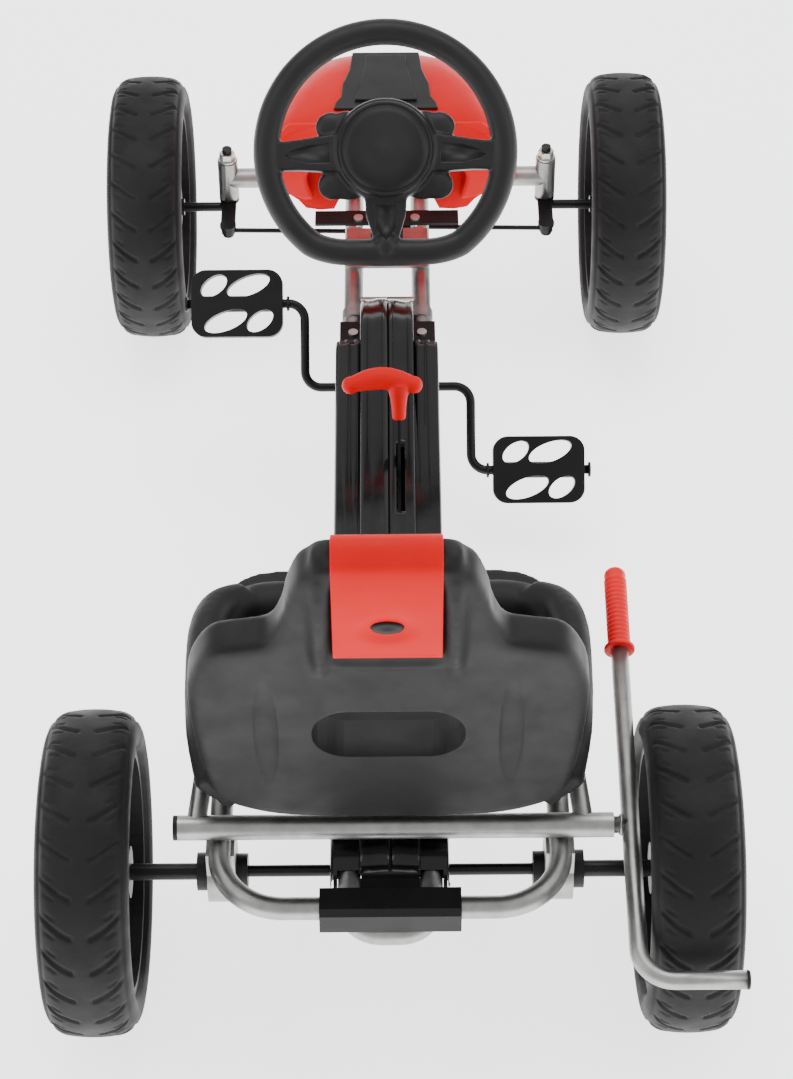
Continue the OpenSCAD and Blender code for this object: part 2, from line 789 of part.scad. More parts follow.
module steering_wheel() {
  r = steer_rim_d / 2;
  open = acos(flat_drop / rim_mid_r);
  color(dark) on_wheel() {
    rotate([0, 0, open - 90]) rotate_extrude(angle = 360 - 2 * open)
      translate([rim_mid_r, 0]) circle(r = r);
    flat_x = rim_mid_r * sin(open);
    rod([-flat_x, -flat_drop, 0], [flat_x, -flat_drop, 0], r);
    for (s = [-1, 1]) translate([s * flat_x, -flat_drop, 0]) sphere(r = r + 0.4);
    difference() {
      cylinder(h = 14, r = 45);
      translate([0, 0, -1]) cylinder(h = 6, r = column_d / 2);
      for (a = [45, 135, 225, 315]) translate([52 * cos(a), 46 * sin(a), 4]) cylinder(h = 20, r = 8);
    }
    for (s = [-1, 1]) translate([0, 0, -4]) linear_extrude(14) polygon([
      [s * 30, 22], [s * 60, 23], [s * rim_mid_r, 16], [s * rim_mid_r, 4], [s * 60, -2], [s * 30, -10]
    ]);
    translate([0, 0, -4]) linear_extrude(14) polygon([
      [-20, -30], [20, -30], [14, -60], [8, -flat_drop], [-8, -flat_drop], [-14, -60]
    ]);
  }
}

module hub_pad() {
  color(black) on_wheel() translate([0, 0, 14]) {
    cylinder(h = 8, r1 = 42, r2 = 36);
    translate([0, 0, 8]) cylinder(h = 2, r = 28);
  }
}

module hub_studs() {
  color(black) on_wheel() for (a = [45, 135, 225, 315])
    translate([52 * cos(a), 46 * sin(a), 4]) cylinder(h = 7, r = 8);
}

module knuckle(side) {
  bend = 12;
  color(black) on_side(side) {
    difference() {
      bent_rod([
        [king_x, front_y, king_z + king_tube_len + 16], [king_x, front_y, axle_z],
        [wheel_x + hub_len / 2 + 9, front_y, axle_z]
      ], axle_d / 2, bend);
    }
    pin_x(wheel_x - hub_len / 2 - 4, wheel_x - hub_len / 2 - pass_gap, front_y, axle_z, axle_d / 2 + 4);
    translate([0, 0, king_z - pass_gap - arm_t]) difference() {
      linear_extrude(arm_t) difference() {
        union() {
          translate([king_x, front_y]) circle(r = 11);
          translate([king_x, tie_y]) circle(r = 9);
          translate([king_x - 8, tie_y]) square([16, front_y - tie_y]);
        }
      }
    }
    translate([king_x, tie_y, tie_z - tie_eye_t / 2 - 2]) cylinder(h = 12, r = tie_pin_r);
    translate([king_x, tie_y, tie_z - tie_eye_t / 2 - 3.5]) cylinder(h = 2, r = tie_pin_r + 3);
  }
}

module kingpin_nuts(side) {
  base = king_z + king_tube_len + pass_gap;
  color(zinc) on_side(side) {
    translate([king_x, front_y, base]) difference() {
      union() {
        cylinder(h = 2, r = 10);
        translate([0, 0, 2]) hex_head(15, 8);
      }
      translate([0, 0, -1]) cylinder(h = 20, r = axle_d / 2);
    }
    translate([wheel_x + hub_len / 2 + pass_gap, front_y, axle_z]) rotate([0, 90, 0]) difference() {
      hex_head(17, 6);
      translate([0, 0, -1]) cylinder(h = 20, r = axle_d / 2);
    }
  }
}

module tie_rod(side) {
  lift = side > 0 ? 3.3 : -3.3;
  eye = [0, tie_y, tie_z + lift - tie_eye_t / 2];
  color(black) on_side(side) difference() {
    union() {
      rod([king_x, tie_y, tie_z], [tie_eye_r + 1.5, tie_y, tie_z + lift], 2.6);
      translate([king_x, tie_y, tie_z - tie_eye_t / 2]) cylinder(h = tie_eye_t, r = 7.5);
      translate(eye) cylinder(h = tie_eye_t, r = tie_eye_r + 3);
    }
    translate([king_x, tie_y, tie_z - 10]) cylinder(h = 20, r = tie_pin_r + run_fit);
    translate(eye - [0, 0, 1]) cylinder(h = tie_eye_t + 2, r = tie_eye_r);
    if (side > 0) box([-12, tie_y + 2, tie_z], [12, tie_y + 12, tie_z + 10]);
  }
}

// ---------- Wheels ----------

// Wheel shapes are turned about their own axis and set on an axle
module set_wheel(x, y) {
  translate([x, y, axle_z]) rotate([0, 90, 0]) children();
}

module tyre_shape() {
  half = tyre_w / 2;
  side_r = rim_d / 2;
  difference() {
    intersection() {
      rotate_extrude() intersection() {
        translate([side_r, -half]) square([wheel_d / 2 - side_r, tyre_w]);
        translate([wheel_d / 2 - 62, 0]) circle(r = 62, $fn = 96);
        translate([side_r + 2, 0]) scale_free_oval(half);
      }
    }
  }
}

// Rounded box that keeps the tyre's shoulders soft
module scale_free_oval(half) {
  shoulder = 16;
  translate([-20, -half + shoulder]) square([100, 2 * (half - shoulder)]);
  translate([-20, -half]) square([20 + wheel_d / 2 - rim_d / 2 - 2 - shoulder, 2 * half]);
  for (s = [-1, 1]) translate([wheel_d / 2 - rim_d / 2 - 2 - shoulder, s * (half - shoulder)])
    circle(r = shoulder);
}

module rim_shape(bore) {
  half = tyre_w / 2 - 7;
  difference() {
    rotate_extrude() {
      translate([rim_d / 2 - 9, -half]) square([9, 2 * half]);
      translate([hub_d / 2 - 3, -4]) square([rim_d / 2 - hub_d / 2 - 3, 8]);
      translate([0, -hub_len / 2]) square([hub_d / 2, hub_len]);
    }
    translate([0, 0, -hub_len]) cylinder(h = 2 * hub_len, r = bore);
    for (i = [0:4]) rotate([0, 0, i * 72]) translate([(rim_d + hub_d) / 4, 0, -10])
      cylinder(h = 20, r = 20);
  }
}

module tyre(x, y) {
  color(dark) set_wheel(x, y) tyre_shape();
}

module rim(x, y, bore) {
  color(black) set_wheel(x, y) rim_shape(bore);
}

module rear_axle() {
  inner = loop_x + housing_half + 10 + pass_gap;
  color(black) {
    difference() {
      pin_x(-wheel_x - hub_len / 2 - 9, wheel_x + hub_len / 2 + 9, rear_y, axle_z, axle_d / 2);
    }
    for (s = [0, 1]) mirror([s, 0, 0]) {
      pin_x(inner, wheel_x - hub_len / 2 - pass_gap * s, rear_y, axle_z, 7.5);
      translate([wheel_x + hub_len / 2 + pass_gap * s, rear_y, axle_z]) rotate([0, 90, 0]) hex_head(17, 6);
    }
  }
}

// ---------- Crank, pedals and brake ----------

crank_rod_x = pedal_x - pedal_w / 2 - 22;

module crank_rod() {
  spindle = pedal_x + pedal_w / 2 + 3;
  path = [
    [-spindle, 0, crank_throw], [-crank_rod_x, 0, crank_throw], [-crank_rod_x, 0, 0],
    [crank_rod_x, 0, 0], [crank_rod_x, 0, -crank_throw], [spindle, 0, -crank_throw]
  ];
  color(black) translate([0, crank_y, crank_z]) rotate([-45, 0, 0]) {
    bent_rod(path, crank_d / 2, 18);
    for (s = [-1, 1], x = [spindle, pedal_x - pedal_w / 2 - 4.6])
      pin_x(s * x - (s < 0 ? 3.2 : 0), s * x + (s < 0 ? 0 : 3.2), 0, -s * crank_throw, 7.5);
  }
}

module pedal(side) {
  o = side * crank_throw * sin(45);
  thick = 20;
  color(black) translate([side * pedal_x, crank_y - o, crank_z - o]) rotate([45, 0, 0]) difference() {
    union() {
      translate([-pedal_w / 2, -pedal_l / 2 + 12, -thick / 2]) cube([pedal_w, pedal_l - 24, thick]);
      translate([-pedal_w / 2 + 12, -pedal_l / 2, -thick / 2]) cube([pedal_w - 24, pedal_l, thick]);
      for (x = [-1, 1], y = [-1, 1]) translate([x * (pedal_w / 2 - 12), y * (pedal_l / 2 - 12), -thick / 2])
        cylinder(h = thick, r = 12);
    }
    for (s = [-1, 1]) translate([-pedal_w / 2 + 11, s * (pedal_l / 4 + 1) - 9, -thick])
      cube([pedal_w - 22, 18, 2 * thick]);
    pin_x(-pedal_w, pedal_w, 0, 0, crank_d / 2 + run_fit);
  }
}

lever_x_mid = king_x + 34;
bar_y = rear_y - wheel_d / 2 - bar_overhang + lever_d / 2;
bar_z = axle_z + bar_rise;
bar_end = wheel_x + tyre_w / 2;
cap_t = 3;
lever_dir = unit([0, cross_y - bar_y, cross_z - bar_z]);
grip_end = [lever_x_mid, cross_y, cross_z] + lever_reach * lever_dir;

module brake_lever() {
  color(silver) {
    jointed_rod(rounded([
      [bar_end - cap_t, bar_y, bar_z], [lever_x_mid, bar_y, bar_z], grip_end - 6 * lever_dir
    ], 28, 1), lever_d / 2);
    pin_x(pivot_from, lever_x_mid, cross_y, cross_z, pivot_r);
  }
}

module brake_end_cap() {
  color(black) pin_x(bar_end - cap_t, bar_end, bar_y, bar_z, lever_d / 2);
}

module brake_grip() {
  start = grip_end - grip_len * lever_dir;
  color(red) difference() {
    union() {
      rod(start, grip_end, 10.2);
      rod(start, start + 4 * lever_dir, 14.2);
      for (i = [1:8]) rod(start + i * 9 * lever_dir, start + (i * 9 + 4) * lever_dir, 10.9);
    }
    rod(start - lever_dir, grip_end - 6 * lever_dir, lever_d / 2);
  }
}

// ---------- Drawing ----------

main_frame();
front_carrier();
steering_stand();
fairing_bracket();
frame_screws();
crank_shell(-1);  // crank_shell_left
crank_shell(1);  // crank_shell_right
seat_strap();
seat_bracket(-1);  // seat_bracket_left
seat_bracket(1);  // seat_bracket_right
seat_loop();
rear_clamp();
clamp_bolts();
cross_tube();
cross_tube_plug();
seat_brace(-1);  // seat_brace_left
seat_brace(1);  // seat_brace_right
bearing_housing(-1);  // bearing_housing_left
bearing_housing(1);  // bearing_housing_right
axle_bush(-1);  // axle_bush_left
axle_bush(1);  // axle_bush_right
seat_shell();
head_panel();
panel_plug();
guard_half_shell(-1);  // chain_guard_left
guard_half_shell(1);  // chain_guard_right
guard_plate();
gear_pivot();
chain();
fairing();
hood_insert();
steering_column();
steering_wheel();
hub_pad();
hub_studs();
knuckle(-1);  // knuckle_left
knuckle(1);  // knuckle_right
kingpin_nuts(-1);  // kingpin_nuts_left
kingpin_nuts(1);  // kingpin_nuts_right
tie_rod(-1);  // tie_rod_left
tie_rod(1);  // tie_rod_right
rim(-wheel_x, front_y, axle_d / 2 + run_fit);  // front_rim_left
rim(wheel_x, front_y, axle_d / 2 + run_fit);  // front_rim_right
tyre(-wheel_x, front_y);  // front_tyre_left
tyre(wheel_x, front_y);  // front_tyre_right
rim(-wheel_x, rear_y, axle_d / 2 + run_fit);  // rear_rim_left
rim(wheel_x, rear_y, axle_d / 2);  // rear_rim_right
tyre(-wheel_x, rear_y);  // rear_tyre_left
tyre(wheel_x, rear_y);  // rear_tyre_right
crank_rod();
chain_ring();
pedal(-1);  // pedal_left
pedal(1);  // pedal_right
rear_axle();
rear_sprocket();
brake_lever();
brake_grip();
brake_end_cap();
gear_lever();
gear_handle();
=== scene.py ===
"""Looks of the pedal go kart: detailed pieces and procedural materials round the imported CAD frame."""
import json
import math

import bmesh
import bpy
from mathutils import Matrix, Quaternion, Vector


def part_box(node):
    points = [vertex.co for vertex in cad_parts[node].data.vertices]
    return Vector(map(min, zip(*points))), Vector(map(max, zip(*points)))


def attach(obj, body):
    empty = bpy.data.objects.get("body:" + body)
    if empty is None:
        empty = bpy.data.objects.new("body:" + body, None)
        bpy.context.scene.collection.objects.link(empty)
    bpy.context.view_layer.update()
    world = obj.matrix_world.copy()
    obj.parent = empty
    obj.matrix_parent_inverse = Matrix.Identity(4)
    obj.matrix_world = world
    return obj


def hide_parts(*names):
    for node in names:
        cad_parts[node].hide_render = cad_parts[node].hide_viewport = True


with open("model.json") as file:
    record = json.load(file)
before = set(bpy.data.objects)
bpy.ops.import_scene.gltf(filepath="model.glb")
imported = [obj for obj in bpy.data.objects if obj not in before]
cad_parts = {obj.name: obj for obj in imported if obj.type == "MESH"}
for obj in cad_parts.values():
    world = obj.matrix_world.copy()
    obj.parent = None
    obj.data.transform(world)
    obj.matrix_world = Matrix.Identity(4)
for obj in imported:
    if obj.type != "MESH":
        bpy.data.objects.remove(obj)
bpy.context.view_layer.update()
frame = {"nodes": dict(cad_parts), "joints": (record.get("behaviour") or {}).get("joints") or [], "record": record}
nodes = frame["nodes"]
joints = {joint["name"]: joint for joint in frame["joints"]}


UP = Vector((0, 0, 1))
RIGHT = Vector((1, 0, 0))
FORWARD = Vector((0, 1, 0))


def joint_place(name):
    return Vector(joints[name]["pos_m"])


# ---------- Materials ----------

def new_material(name, colour, rough, metallic=0.0, coat=0.0, coat_rough=0.1, ior=1.5):
    """A Principled material with its node tree, ready for detail nodes."""
    material = bpy.data.materials.new(name)
    material.use_nodes = True
    shader = material.node_tree.nodes["Principled BSDF"]
    shader.inputs["Base Color"].default_value = (*colour, 1)
    shader.inputs["Roughness"].default_value = rough
    shader.inputs["Metallic"].default_value = metallic
    shader.inputs["Coat Weight"].default_value = coat
    shader.inputs["Coat Roughness"].default_value = coat_rough
    shader.inputs["IOR"].default_value = ior
    return material, material.node_tree, shader


def noise(tree, scale, detail=4.0, rough=0.5, stretch=None):
    """Noise in object coordinates; stretch squeezes it along the axes."""
    coords = tree.nodes.new("ShaderNodeTexCoord")
    mapping = tree.nodes.new("ShaderNodeMapping")
    mapping.inputs["Scale"].default_value = stretch or (1, 1, 1)
    texture = tree.nodes.new("ShaderNodeTexNoise")
    texture.inputs["Scale"].default_value = scale
    texture.inputs["Detail"].default_value = detail
    texture.inputs["Roughness"].default_value = rough
    tree.links.new(coords.outputs["Object"], mapping.inputs["Vector"])
    tree.links.new(mapping.outputs["Vector"], texture.inputs["Vector"])
    return texture.outputs["Fac"]


def ramp(tree, fac, low, high, start=0.3, end=0.7):
    """Maps fac between two greys or two colours."""
    node = tree.nodes.new("ShaderNodeValToRGB")
    node.color_ramp.elements[0].position = start
    node.color_ramp.elements[1].position = end
    for element, value in zip(node.color_ramp.elements, (low, high)):
        element.color = (*value, 1) if isinstance(value, tuple) else (value, value, value, 1)
    tree.links.new(fac, node.inputs["Fac"])
    return node.outputs["Color"]


def add_bump(tree, shader, height, distance, strength=1.0):
    bump = tree.nodes.new("ShaderNodeBump")
    bump.inputs["Strength"].default_value = strength
    bump.inputs["Distance"].default_value = distance
    tree.links.new(height, bump.inputs["Height"])
    tree.links.new(bump.outputs["Normal"], shader.inputs["Normal"])


def edge_wear(tree, base, worn, amount=0.25):
    """Blends a lighter colour in where the surface turns sharply."""
    geometry = tree.nodes.new("ShaderNodeNewGeometry")
    edge = ramp(tree, geometry.outputs["Pointiness"], 0.0, amount, 0.52, 0.6)
    mix = tree.nodes.new("ShaderNodeMix")
    mix.data_type = "RGBA"
    mix.inputs[7].default_value = (*worn, 1)
    tree.links.new(edge, mix.inputs[0])
    tree.links.new(base, mix.inputs[6])
    return mix.outputs[2]


def plastic(name, dark, light, rough_low, rough_high, grain, grain_scale, coat=0.0, ior=1.32):
    """Moulded plastic: faint cloudy colour, uneven gloss and a fine grain."""
    material, tree, shader = new_material(name, light, rough_low, coat=coat, ior=ior)
    cloud = noise(tree, 9, 5)
    colour = ramp(tree, cloud, dark, light)
    worn = tuple(min(1.0, c * 1.6 + 0.02) for c in light)
    tree.links.new(edge_wear(tree, colour, worn), shader.inputs["Base Color"])
    tree.links.new(ramp(tree, noise(tree, 37, 3), rough_low, rough_high), shader.inputs["Roughness"])
    add_bump(tree, shader, noise(tree, grain_scale, 2), grain)
    return material


def steel(name, dark, light, rough_low, rough_high, stretch=(1, 1, 1), scale=60):
    """Metal with a drawn or spangled surface."""
    material, tree, shader = new_material(name, light, rough_low, metallic=1.0)
    tree.links.new(ramp(tree, noise(tree, scale, 6, 0.6, stretch), dark, light), shader.inputs["Base Color"])
    tree.links.new(ramp(tree, noise(tree, 25, 5, 0.6, stretch), rough_low, rough_high),
                   shader.inputs["Roughness"])
    add_bump(tree, shader, noise(tree, 900, 2, 0.5, stretch), 0.00004)
    return material


MATERIALS = {
    "steel_tube": steel("galvanised_tube", (0.3, 0.3, 0.295), (0.42, 0.42, 0.41), 0.34, 0.5),
    "zinc": steel("zinc_plate", (0.5, 0.5, 0.47), (0.66, 0.66, 0.62), 0.36, 0.5, scale=140),
    "black_steel": plastic("black_powder_coat", (0.003, 0.003, 0.0035), (0.006, 0.006, 0.007), 0.26, 0.42,
                           0.00005, 1400),
    "drive_steel": steel("oiled_steel", (0.1, 0.1, 0.1), (0.2, 0.2, 0.2), 0.3, 0.5, scale=120),
    "black_plastic": plastic("black_plastic", (0.004, 0.004, 0.0045), (0.008, 0.008, 0.009), 0.36, 0.5,
                             0.00006, 1600),
    "guard_plastic": plastic("glossy_black_plastic", (0.002, 0.002, 0.0025), (0.005, 0.005, 0.006), 0.16,
                             0.28, 0.00003, 700, coat=0.3),
    "seat_plastic": plastic("seat_plastic", (0.005, 0.005, 0.0055), (0.01, 0.01, 0.011), 0.48, 0.62,
                            0.00009, 1500),
    "wheel_grip": plastic("steering_wheel_plastic", (0.008, 0.008, 0.0085), (0.014, 0.014, 0.015), 0.36, 0.5,
                          0.00008, 1700),
    "rim_plastic": plastic("rim_plastic", (0.003, 0.003, 0.0035), (0.007, 0.007, 0.008), 0.4, 0.55,
                           0.00007, 1300),
    "tyre": plastic("foam_tyre", (0.005, 0.005, 0.0055), (0.011, 0.011, 0.012), 0.55, 0.72, 0.00016, 800),
    "red_plastic": plastic("red_plastic", (0.6, 0.0, 0.002), (0.72, 0.001, 0.004), 0.4, 0.52,
                           0.00004, 1500, ior=1.2),
    "red_grip": plastic("red_grip_rubber", (0.74, 0.0, 0.005), (0.86, 0.002, 0.008), 0.38, 0.52,
                        0.00008, 1500),
}
slot_of = {part["node"]: part["material_slot"] for part in frame["record"]["subparts"]}


def set_material(obj, slot):
    obj.data.materials.clear()
    obj.data.materials.append(MATERIALS[slot])


def add_bevel(obj, name, width, segments, angle):
    """Rounds the edges of obj that turn by more than angle, in degrees."""
    bevel = obj.modifiers.new(name, "BEVEL")
    bevel.width = width
    bevel.segments = segments
    bevel.limit_method = "ANGLE"
    bevel.angle_limit = math.radians(angle)


for node_name, node in nodes.items():
    set_material(node, slot_of[node_name])
    add_bevel(node, "soft_edges", 0.0006, 2, 40)


# ---------- Mesh helpers ----------

def make_object(name, mesh_data):
    obj = bpy.data.objects.new(name, mesh_data)
    bpy.context.scene.collection.objects.link(obj)
    return obj


def shade_smooth(data):
    for polygon in data.polygons:
        polygon.use_smooth = True


def mesh_from(name, points, faces, smooth=True):
    data = bpy.data.meshes.new(name)
    data.from_pydata([tuple(p) for p in points], [], faces)
    data.update()
    made = bmesh.new()
    made.from_mesh(data)
    bmesh.ops.recalc_face_normals(made, faces=made.faces)
    made.to_mesh(data)
    made.free()
    if smooth:
        shade_smooth(data)
    return make_object(name, data)


def grid_faces(rows, columns, close_rows=False, close_columns=False):
    """Quads between consecutive rows of points."""
    faces = []
    for i in range(rows if close_rows else rows - 1):
        for j in range(columns if close_columns else columns - 1):
            a, b = i * columns + j, i * columns + (j + 1) % columns
            c, d = ((i + 1) % rows) * columns + (j + 1) % columns, ((i + 1) % rows) * columns + j
            faces.append((a, b, c, d))
    return faces


def sweep(name, path, radii, sides=28, closed=False):
    """Round tube along a path of points; radii is one radius or one for each point."""
    count = len(path)
    if not isinstance(radii, (list, tuple)):
        radii = [radii] * count
    points = []
    normal = None
    for i, here in enumerate(path):
        before = path[(i - 1) % count] if closed or i > 0 else here
        after = path[(i + 1) % count] if closed or i < count - 1 else here
        along = (after - before).normalized()
        if normal is None:
            seed = Vector((0, 0, 1)) if abs(along.z) < 0.9 else Vector((1, 0, 0))
            normal = along.cross(seed).normalized()
        normal = (normal - along * normal.dot(along)).normalized()
        side = along.cross(normal)
        for k in range(sides):
            angle = 2 * math.pi * k / sides
            points.append(here + radii[i] * (math.cos(angle) * normal + math.sin(angle) * side))
    faces = grid_faces(count, sides, closed, True)
    if not closed:
        faces.append(tuple(range(sides - 1, -1, -1)))
        faces.append(tuple((count - 1) * sides + k for k in range(sides)))
    return mesh_from(name, points, faces)


def rounded_path(corners, bend, steps=10):
    """Straight stretches between the corners, joined by round bends of radius bend."""
    path = [corners[0]]
    for i in range(1, len(corners) - 1):
        corner = corners[i]
        into, out = (corner - corners[i - 1]).normalized(), (corners[i + 1] - corner).normalized()
        half = into.angle(out) / 2
        centre = corner + (out - into).normalized() * bend / math.cos(half)
        start = corner - into * bend * math.tan(half) - centre
        for k in range(steps + 1):
            angle = 2 * half * k / steps
            path.append(centre + start * math.cos(angle) + into * bend * math.sin(angle))
    path.append(corners[-1])
    return path


def lathe(name, profile, start, along, segments=64):
    """Turns (distance, radius) pairs round the line from start."""
    turn = UP.rotation_difference(along.normalized())
    points = []
    for distance, radius in profile:
        for k in range(segments):
            angle = 2 * math.pi * k / segments
            ring_point = Vector((radius * math.cos(angle), radius * math.sin(angle), distance))
            points.append(start + turn @ ring_point)
    faces = grid_faces(len(profile), segments, False, True)
    faces.append(tuple(range(segments - 1, -1, -1)))
    faces.append(tuple((len(profile) - 1) * segments + k for k in range(segments)))
    return mesh_from(name, points, faces)


def apply_modifiers(obj):
    """Bakes the modifiers of obj into its mesh."""
    bpy.context.view_layer.update()
    evaluated = obj.evaluated_get(bpy.context.evaluated_depsgraph_get())
    baked = bpy.data.meshes.new_from_object(evaluated)
    obj.modifiers.clear()
    old, obj.data = obj.data, baked
    bpy.data.meshes.remove(old)


def join(name, pieces):
    """One object from several, keeping their places."""
    made = bmesh.new()
    for piece in pieces:
        copy = piece.data.copy()
        copy.transform(piece.matrix_world)
        made.from_mesh(copy)
        bpy.data.meshes.remove(copy)
        bpy.data.objects.remove(piece)
    data = bpy.data.meshes.new(name)
    made.to_mesh(data)
    made.free()
    return make_object(name, data)


def melt(obj, voxel, smooth_steps):
    """Joins overlapping closed shapes into one rounded skin."""
    remesh = obj.modifiers.new("melt", "REMESH")
    remesh.mode = "VOXEL"
    remesh.voxel_size = voxel
    remesh.use_smooth_shade = True
    relax = obj.modifiers.new("relax", "SMOOTH")
    relax.factor = 0.5
    relax.iterations = smooth_steps
    apply_modifiers(obj)
    return obj


def cut(obj, cutter):
    """Takes the cutter's shape out of obj."""
    boolean = obj.modifiers.new("cut", "BOOLEAN")
    boolean.operation = "DIFFERENCE"
    boolean.solver = "EXACT"
    boolean.object = cutter
    apply_modifiers(obj)
    bpy.data.objects.remove(cutter)
    return obj


def mirrored(points):
    """The same (x, y) points on the other side of the middle, in the opposite order."""
    return [(-x, y) for x, y in reversed(points)]


def slab(name, outline, low_z, high_z):
    """Closed plate over an outline of (x, y) points."""
    count = len(outline)
    points = [(x, y, low_z) for x, y in outline] + [(x, y, high_z) for x, y in outline]
    faces = [tuple(range(count - 1, -1, -1)), tuple(range(count, 2 * count))]
    faces += [(i, (i + 1) % count, count + (i + 1) % count, count + i) for i in range(count)]
    return mesh_from(name, points, faces, smooth=False)


def finish_piece(obj, body, slot, *replaced):
    """Gives obj the material of its slot, hangs it under its body's empty and hides the nodes it replaces."""
    set_material(obj, slot)
    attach(obj, body)
    if replaced:
        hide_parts(*replaced)
    return obj


# ---------- Tyres ----------

TYRE_ROUND = 540
TYRE_ACROSS = 46
TREAD_COUNT = 27
TREAD_DEPTH = 0.0021
TYRE_WALL = 0.033


def smooth_step(low, high, value):
    t = min(1.0, max(0.0, (value - low) / (high - low)))
    return t * t * (3 - 2 * t)


def groove(distance, width):
    """Depth share of a groove at this distance from its middle."""
    return 1 - smooth_step(width * 0.45, width, abs(distance))


def tread_depth(angle, across):
    """Depth share of the tread at an angle round the tyre and a share -1 to 1 across it."""
    side = abs(across)
    shift = 0.9 * side ** 1.7 + 0.08
    phase = (angle * TREAD_COUNT / (2 * math.pi) + shift) % 1.0
    main = (groove(phase - 0.5, 0.1) * smooth_step(0.15, 0.21, side)
            * (1 - smooth_step(0.8, 0.9, side)))
    fine_phase = (angle * TREAD_COUNT * 2 / (2 * math.pi) + 1.5 * side) % 1.0
    fine = (0.55 * groove(fine_phase - 0.5, 0.13) * smooth_step(0.5, 0.56, side)
            * (1 - smooth_step(0.7, 0.78, side)))
    shoulder = 0.7 * groove(side - 0.86, 0.035)
    return max(main, fine, shoulder)


def tyre_radius(across, inner, outer):
    """Crown of the tyre: nearly flat in the middle, round at the shoulders."""
    side = abs(across)
    crown = outer - 0.006 * side ** 2
    if side > 0.55:
        crown -= (outer - inner) * 0.52 * (1 - math.sqrt(max(0.0, 1 - ((side - 0.55) / 0.45) ** 2.1)))
    return crown


def make_tyre(node, body):
    low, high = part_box(node)
    centre = (low + high) / 2
    half, outer = (high.x - low.x) / 2, (high.z - low.z) / 2
    inner = outer - TYRE_WALL
    bead = [(0.985, inner + 0.008), (0.93, inner + 0.001), (0, inner), (-0.93, inner + 0.001),
            (-0.985, inner + 0.008)]
    points = []
    for i in range(TYRE_ROUND):
        angle = 2 * math.pi * i / TYRE_ROUND
        tread = []
        for j in range(TYRE_ACROSS + 1):
            across = math.sin(math.pi * (j / TYRE_ACROSS - 0.5)) * 0.35 + 0.65 * (2 * j / TYRE_ACROSS - 1)
            radius = tyre_radius(across, inner, outer) - TREAD_DEPTH * tread_depth(angle, across)
            tread.append((across, radius))
        for across, radius in tread + bead:
            offset = Vector((half * across, radius * math.cos(angle), radius * math.sin(angle)))
            points.append(centre + offset)
    faces = grid_faces(TYRE_ROUND, TYRE_ACROSS + 1 + len(bead), True, True)
    finish_piece(mesh_from(node + "_tread", points, faces), body, "tyre", node)


make_tyre("front_tyre_left", "front_wheel_left")
make_tyre("front_tyre_right", "front_wheel_right")
make_tyre("rear_tyre_left", "rear_wheel_left")
make_tyre("rear_tyre_right", "rear_axle")


# ---------- Steering wheel ----------

wheel_centre = joint_place("steering_turn")
column_axis = Vector(joints["steering_turn"]["axis"]).normalized()
wheel_turn = Matrix((
    (1, 0, 0),
    (0, -column_axis.z, -column_axis.y),
    (0, column_axis.y, -column_axis.z),
)).to_4x4()
wheel_frame = Matrix.Translation(wheel_centre) @ wheel_turn
RIM_MID = 0.1145
RIM_THICK = 0.0128
FLAT_DROP = 0.097
RIM_BEND = 0.022


def on_wheel(obj):
    obj.data.transform(wheel_frame)
    return obj


def soft_corner(start, corner, end, parts=9):
    """Points between start and end on a quadratic curve that is drawn towards the corner."""
    points = []
    for k in range(1, parts):
        t = k / parts
        points.append((1 - t) ** 2 * start + 2 * t * (1 - t) * corner + t * t * end)
    return points


def rim_path():
    """Round rim whose bottom is a flat run with soft corners."""
    open_angle = math.acos(FLAT_DROP / RIM_MID) + 0.12
    path = []
    steps = 90
    for i in range(steps + 1):
        angle = -math.pi / 2 + open_angle + (2 * math.pi - 2 * open_angle) * i / steps
        path.append(Vector((RIM_MID * math.cos(angle), RIM_MID * math.sin(angle), 0)))
    start, end = path[0], path[-1]
    corner_in = Vector((-math.sqrt(RIM_MID ** 2 - FLAT_DROP ** 2) * 0.93, -FLAT_DROP - 0.0005, 0))
    corner_out = Vector((-corner_in.x, corner_in.y, 0))
    bend = Vector((RIM_BEND, 0, 0))
    path += soft_corner(end, corner_in, corner_in + bend)
    for k in range(7):
        x = corner_in.x + RIM_BEND + (corner_out.x - corner_in.x - 2 * RIM_BEND) * k / 6
        path.append(Vector((x, corner_in.y, 0)))
    path += soft_corner(corner_out - bend, corner_out, start)
    return path


def lens(name, centre, size, turn=0.0, segments=32):
    """Flattened ball, used to build up soft shapes."""
    made = bmesh.new()
    bmesh.ops.create_uvsphere(made, u_segments=segments, v_segments=segments // 2, radius=1)
    data = bpy.data.meshes.new(name)
    made.to_mesh(data)
    made.free()
    place = Matrix.Translation(centre) @ Matrix.Rotation(turn, 4, "Z")
    data.transform(place @ Matrix.Diagonal((*size, 1)))
    return make_object(name, data)


wheel_bits = [sweep("steering_rim", rim_path(), RIM_THICK, 40, closed=True)]
boss_profile = [(-0.006, 0.036), (-0.004, 0.047), (0.004, 0.0505), (0.0095, 0.049), (0.0125, 0.045)]
wheel_bits.append(lathe("hub_boss", boss_profile, Vector(), UP))
